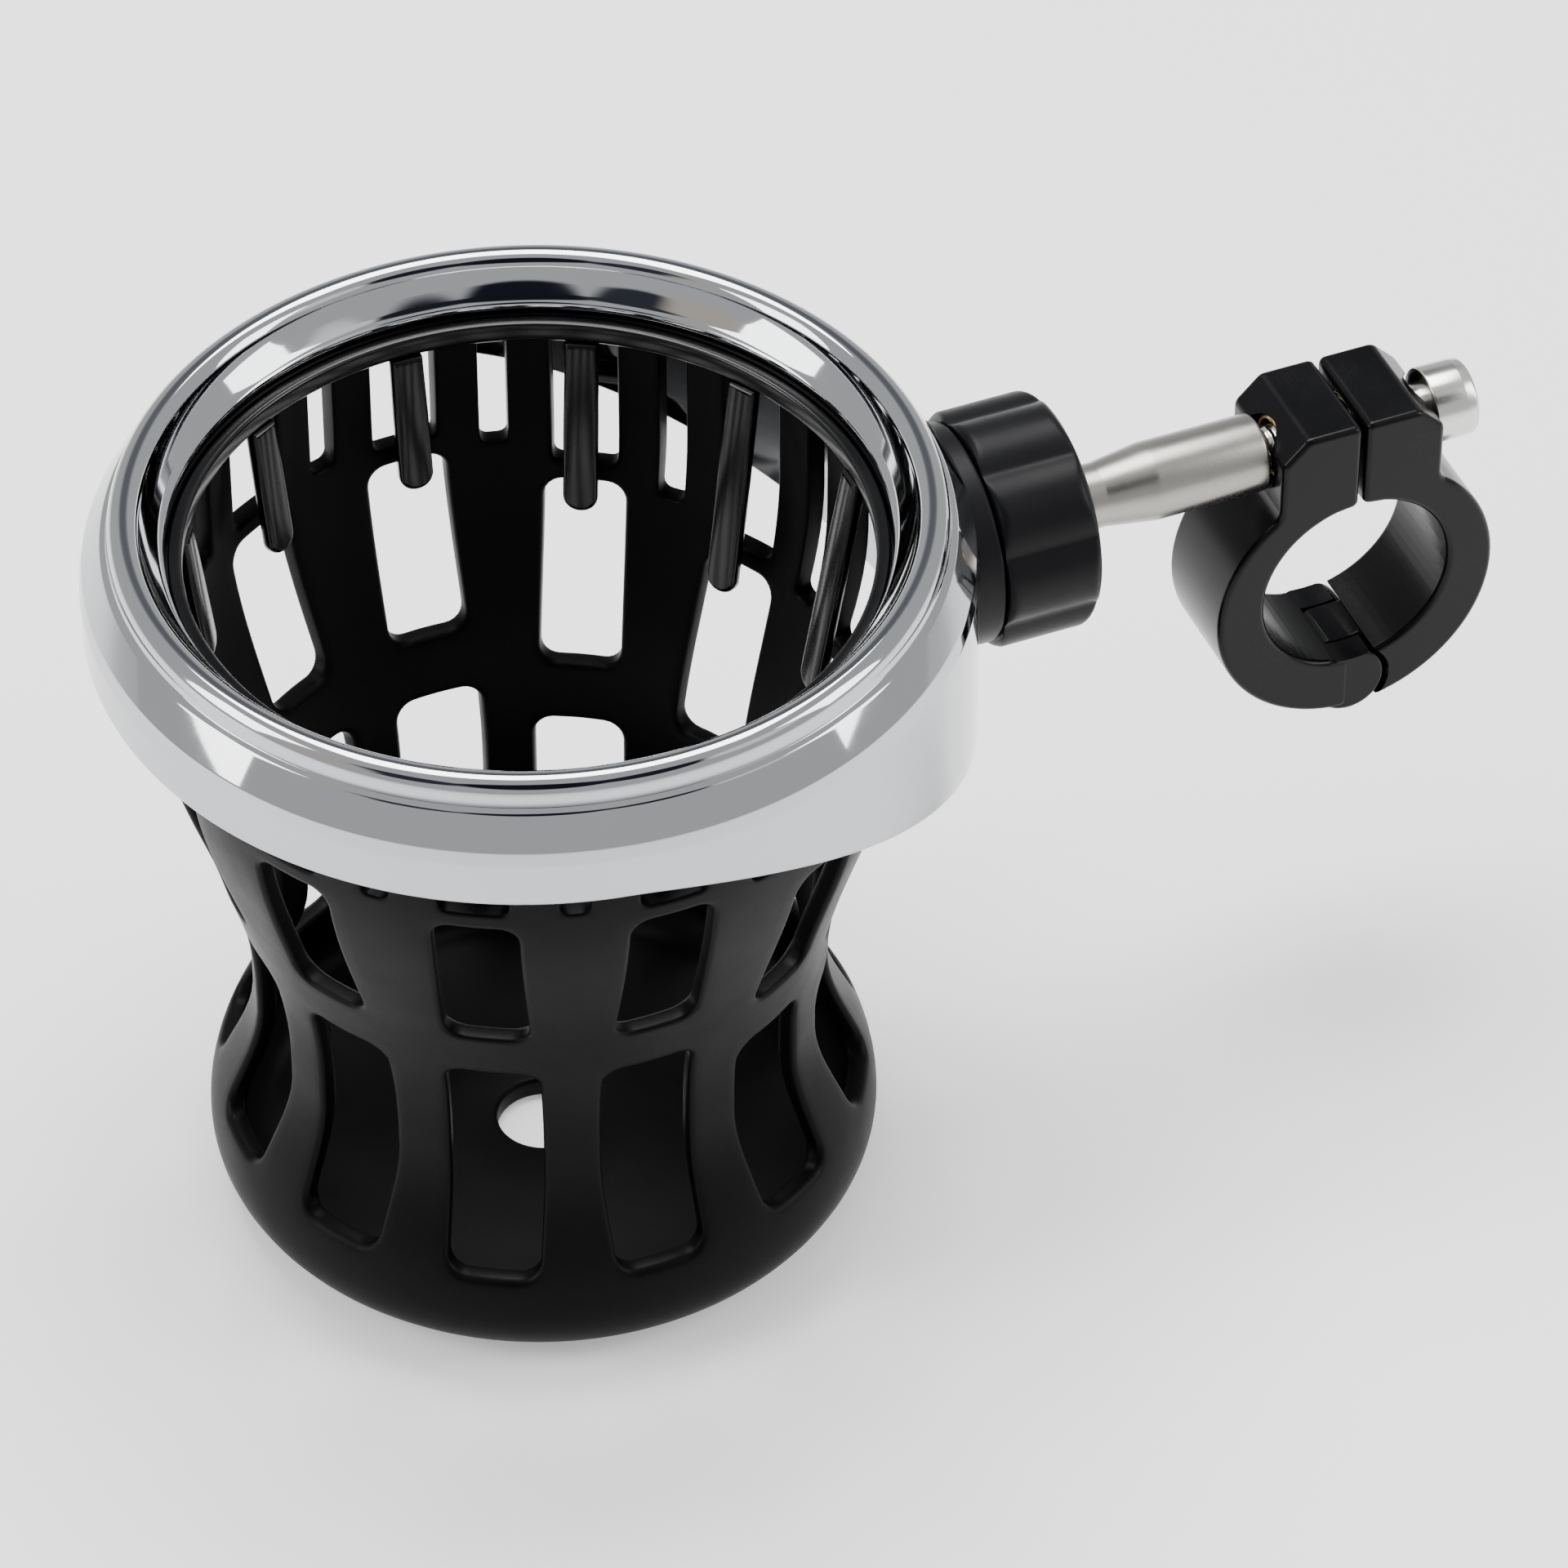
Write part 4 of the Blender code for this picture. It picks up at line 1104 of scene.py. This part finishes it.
def sky_patch(azimuth, elevation, inner_deg, outer_deg):
    """1 inside a round area of the sky, falling to 0 at its soft edge."""
    a, e = math.radians(azimuth), math.radians(elevation)
    toward = (math.sin(a) * math.cos(e), -math.cos(a) * math.cos(e), math.sin(e))
    dot = sky.new("ShaderNodeVectorMath")
    dot.operation = "DOT_PRODUCT"
    dot.inputs[1].default_value = toward
    wires.new(looking.outputs["Generated"], dot.inputs[0])
    edge = sky.new("ShaderNodeMapRange")
    edge.interpolation_type = "SMOOTHSTEP"
    edge.inputs["From Min"].default_value = math.cos(math.radians(outer_deg))
    edge.inputs["From Max"].default_value = math.cos(math.radians(inner_deg))
    wires.new(dot.outputs["Value"], edge.inputs["Value"])
    return edge.outputs["Result"]


def over(below, patch, colour):
    mix = sky.new("ShaderNodeMix")
    mix.data_type = "RGBA"
    wires.new(patch, mix.inputs["Factor"])
    if isinstance(below, tuple):
        mix.inputs["A"].default_value = (*below, 1)
    else:
        wires.new(below, mix.inputs["A"])
    mix.inputs["B"].default_value = (*colour, 1)
    return mix.outputs["Result"]


colour = over((0.86, 0.87, 0.88), sky_patch(-20, 44, 15, 19), (0.02, 0.022, 0.035))
colour = over(colour, sky_patch(-56, 39, 11, 15), (0.06, 0.065, 0.085))
colour = over(colour, sky_patch(12, 43, 11, 15), (0.03, 0.032, 0.045))
colour = over(colour, sky_patch(160, 42, 6, 24), (0.25, 0.26, 0.28))
colour = over(colour, sky_patch(40, 36, 9, 13), (1.6, 1.6, 1.6))
colour = over(colour, sky_patch(-75, 30, 6, 14), (0.95, 0.86, 0.74))
wires.new(colour, sky_shader.inputs["Color"])
sky_shader.inputs["Strength"].default_value = 0.9
print("studio sky ready")

# %% Soft lamps


def soft_lamp(name, azimuth, elevation, distance, width, height, power):
    data = bpy.data.lights.new(name, "AREA")
    data.shape = "RECTANGLE"
    data.size, data.size_y = width, height
    data.energy = power
    lamp = bpy.data.objects.new(name, data)
    bpy.context.scene.collection.objects.link(lamp)
    a, e = math.radians(azimuth), math.radians(elevation)
    toward = Vector((math.sin(a) * math.cos(e), -math.cos(a) * math.cos(e), math.sin(e)))
    lamp.location = Vector((0, 0, 0.06)) + toward * distance
    lamp.rotation_euler = toward.to_track_quat("Z", "Y").to_euler()
    return lamp


soft_lamp("overhead", 170, 72, 0.9, 0.7, 0.5, 14.0)
soft_lamp("left_window", -100, 28, 0.9, 0.35, 0.6, 5.0)
soft_lamp("right_window", 62, 30, 0.9, 0.3, 0.6, 4.0)
print("three soft lamps")
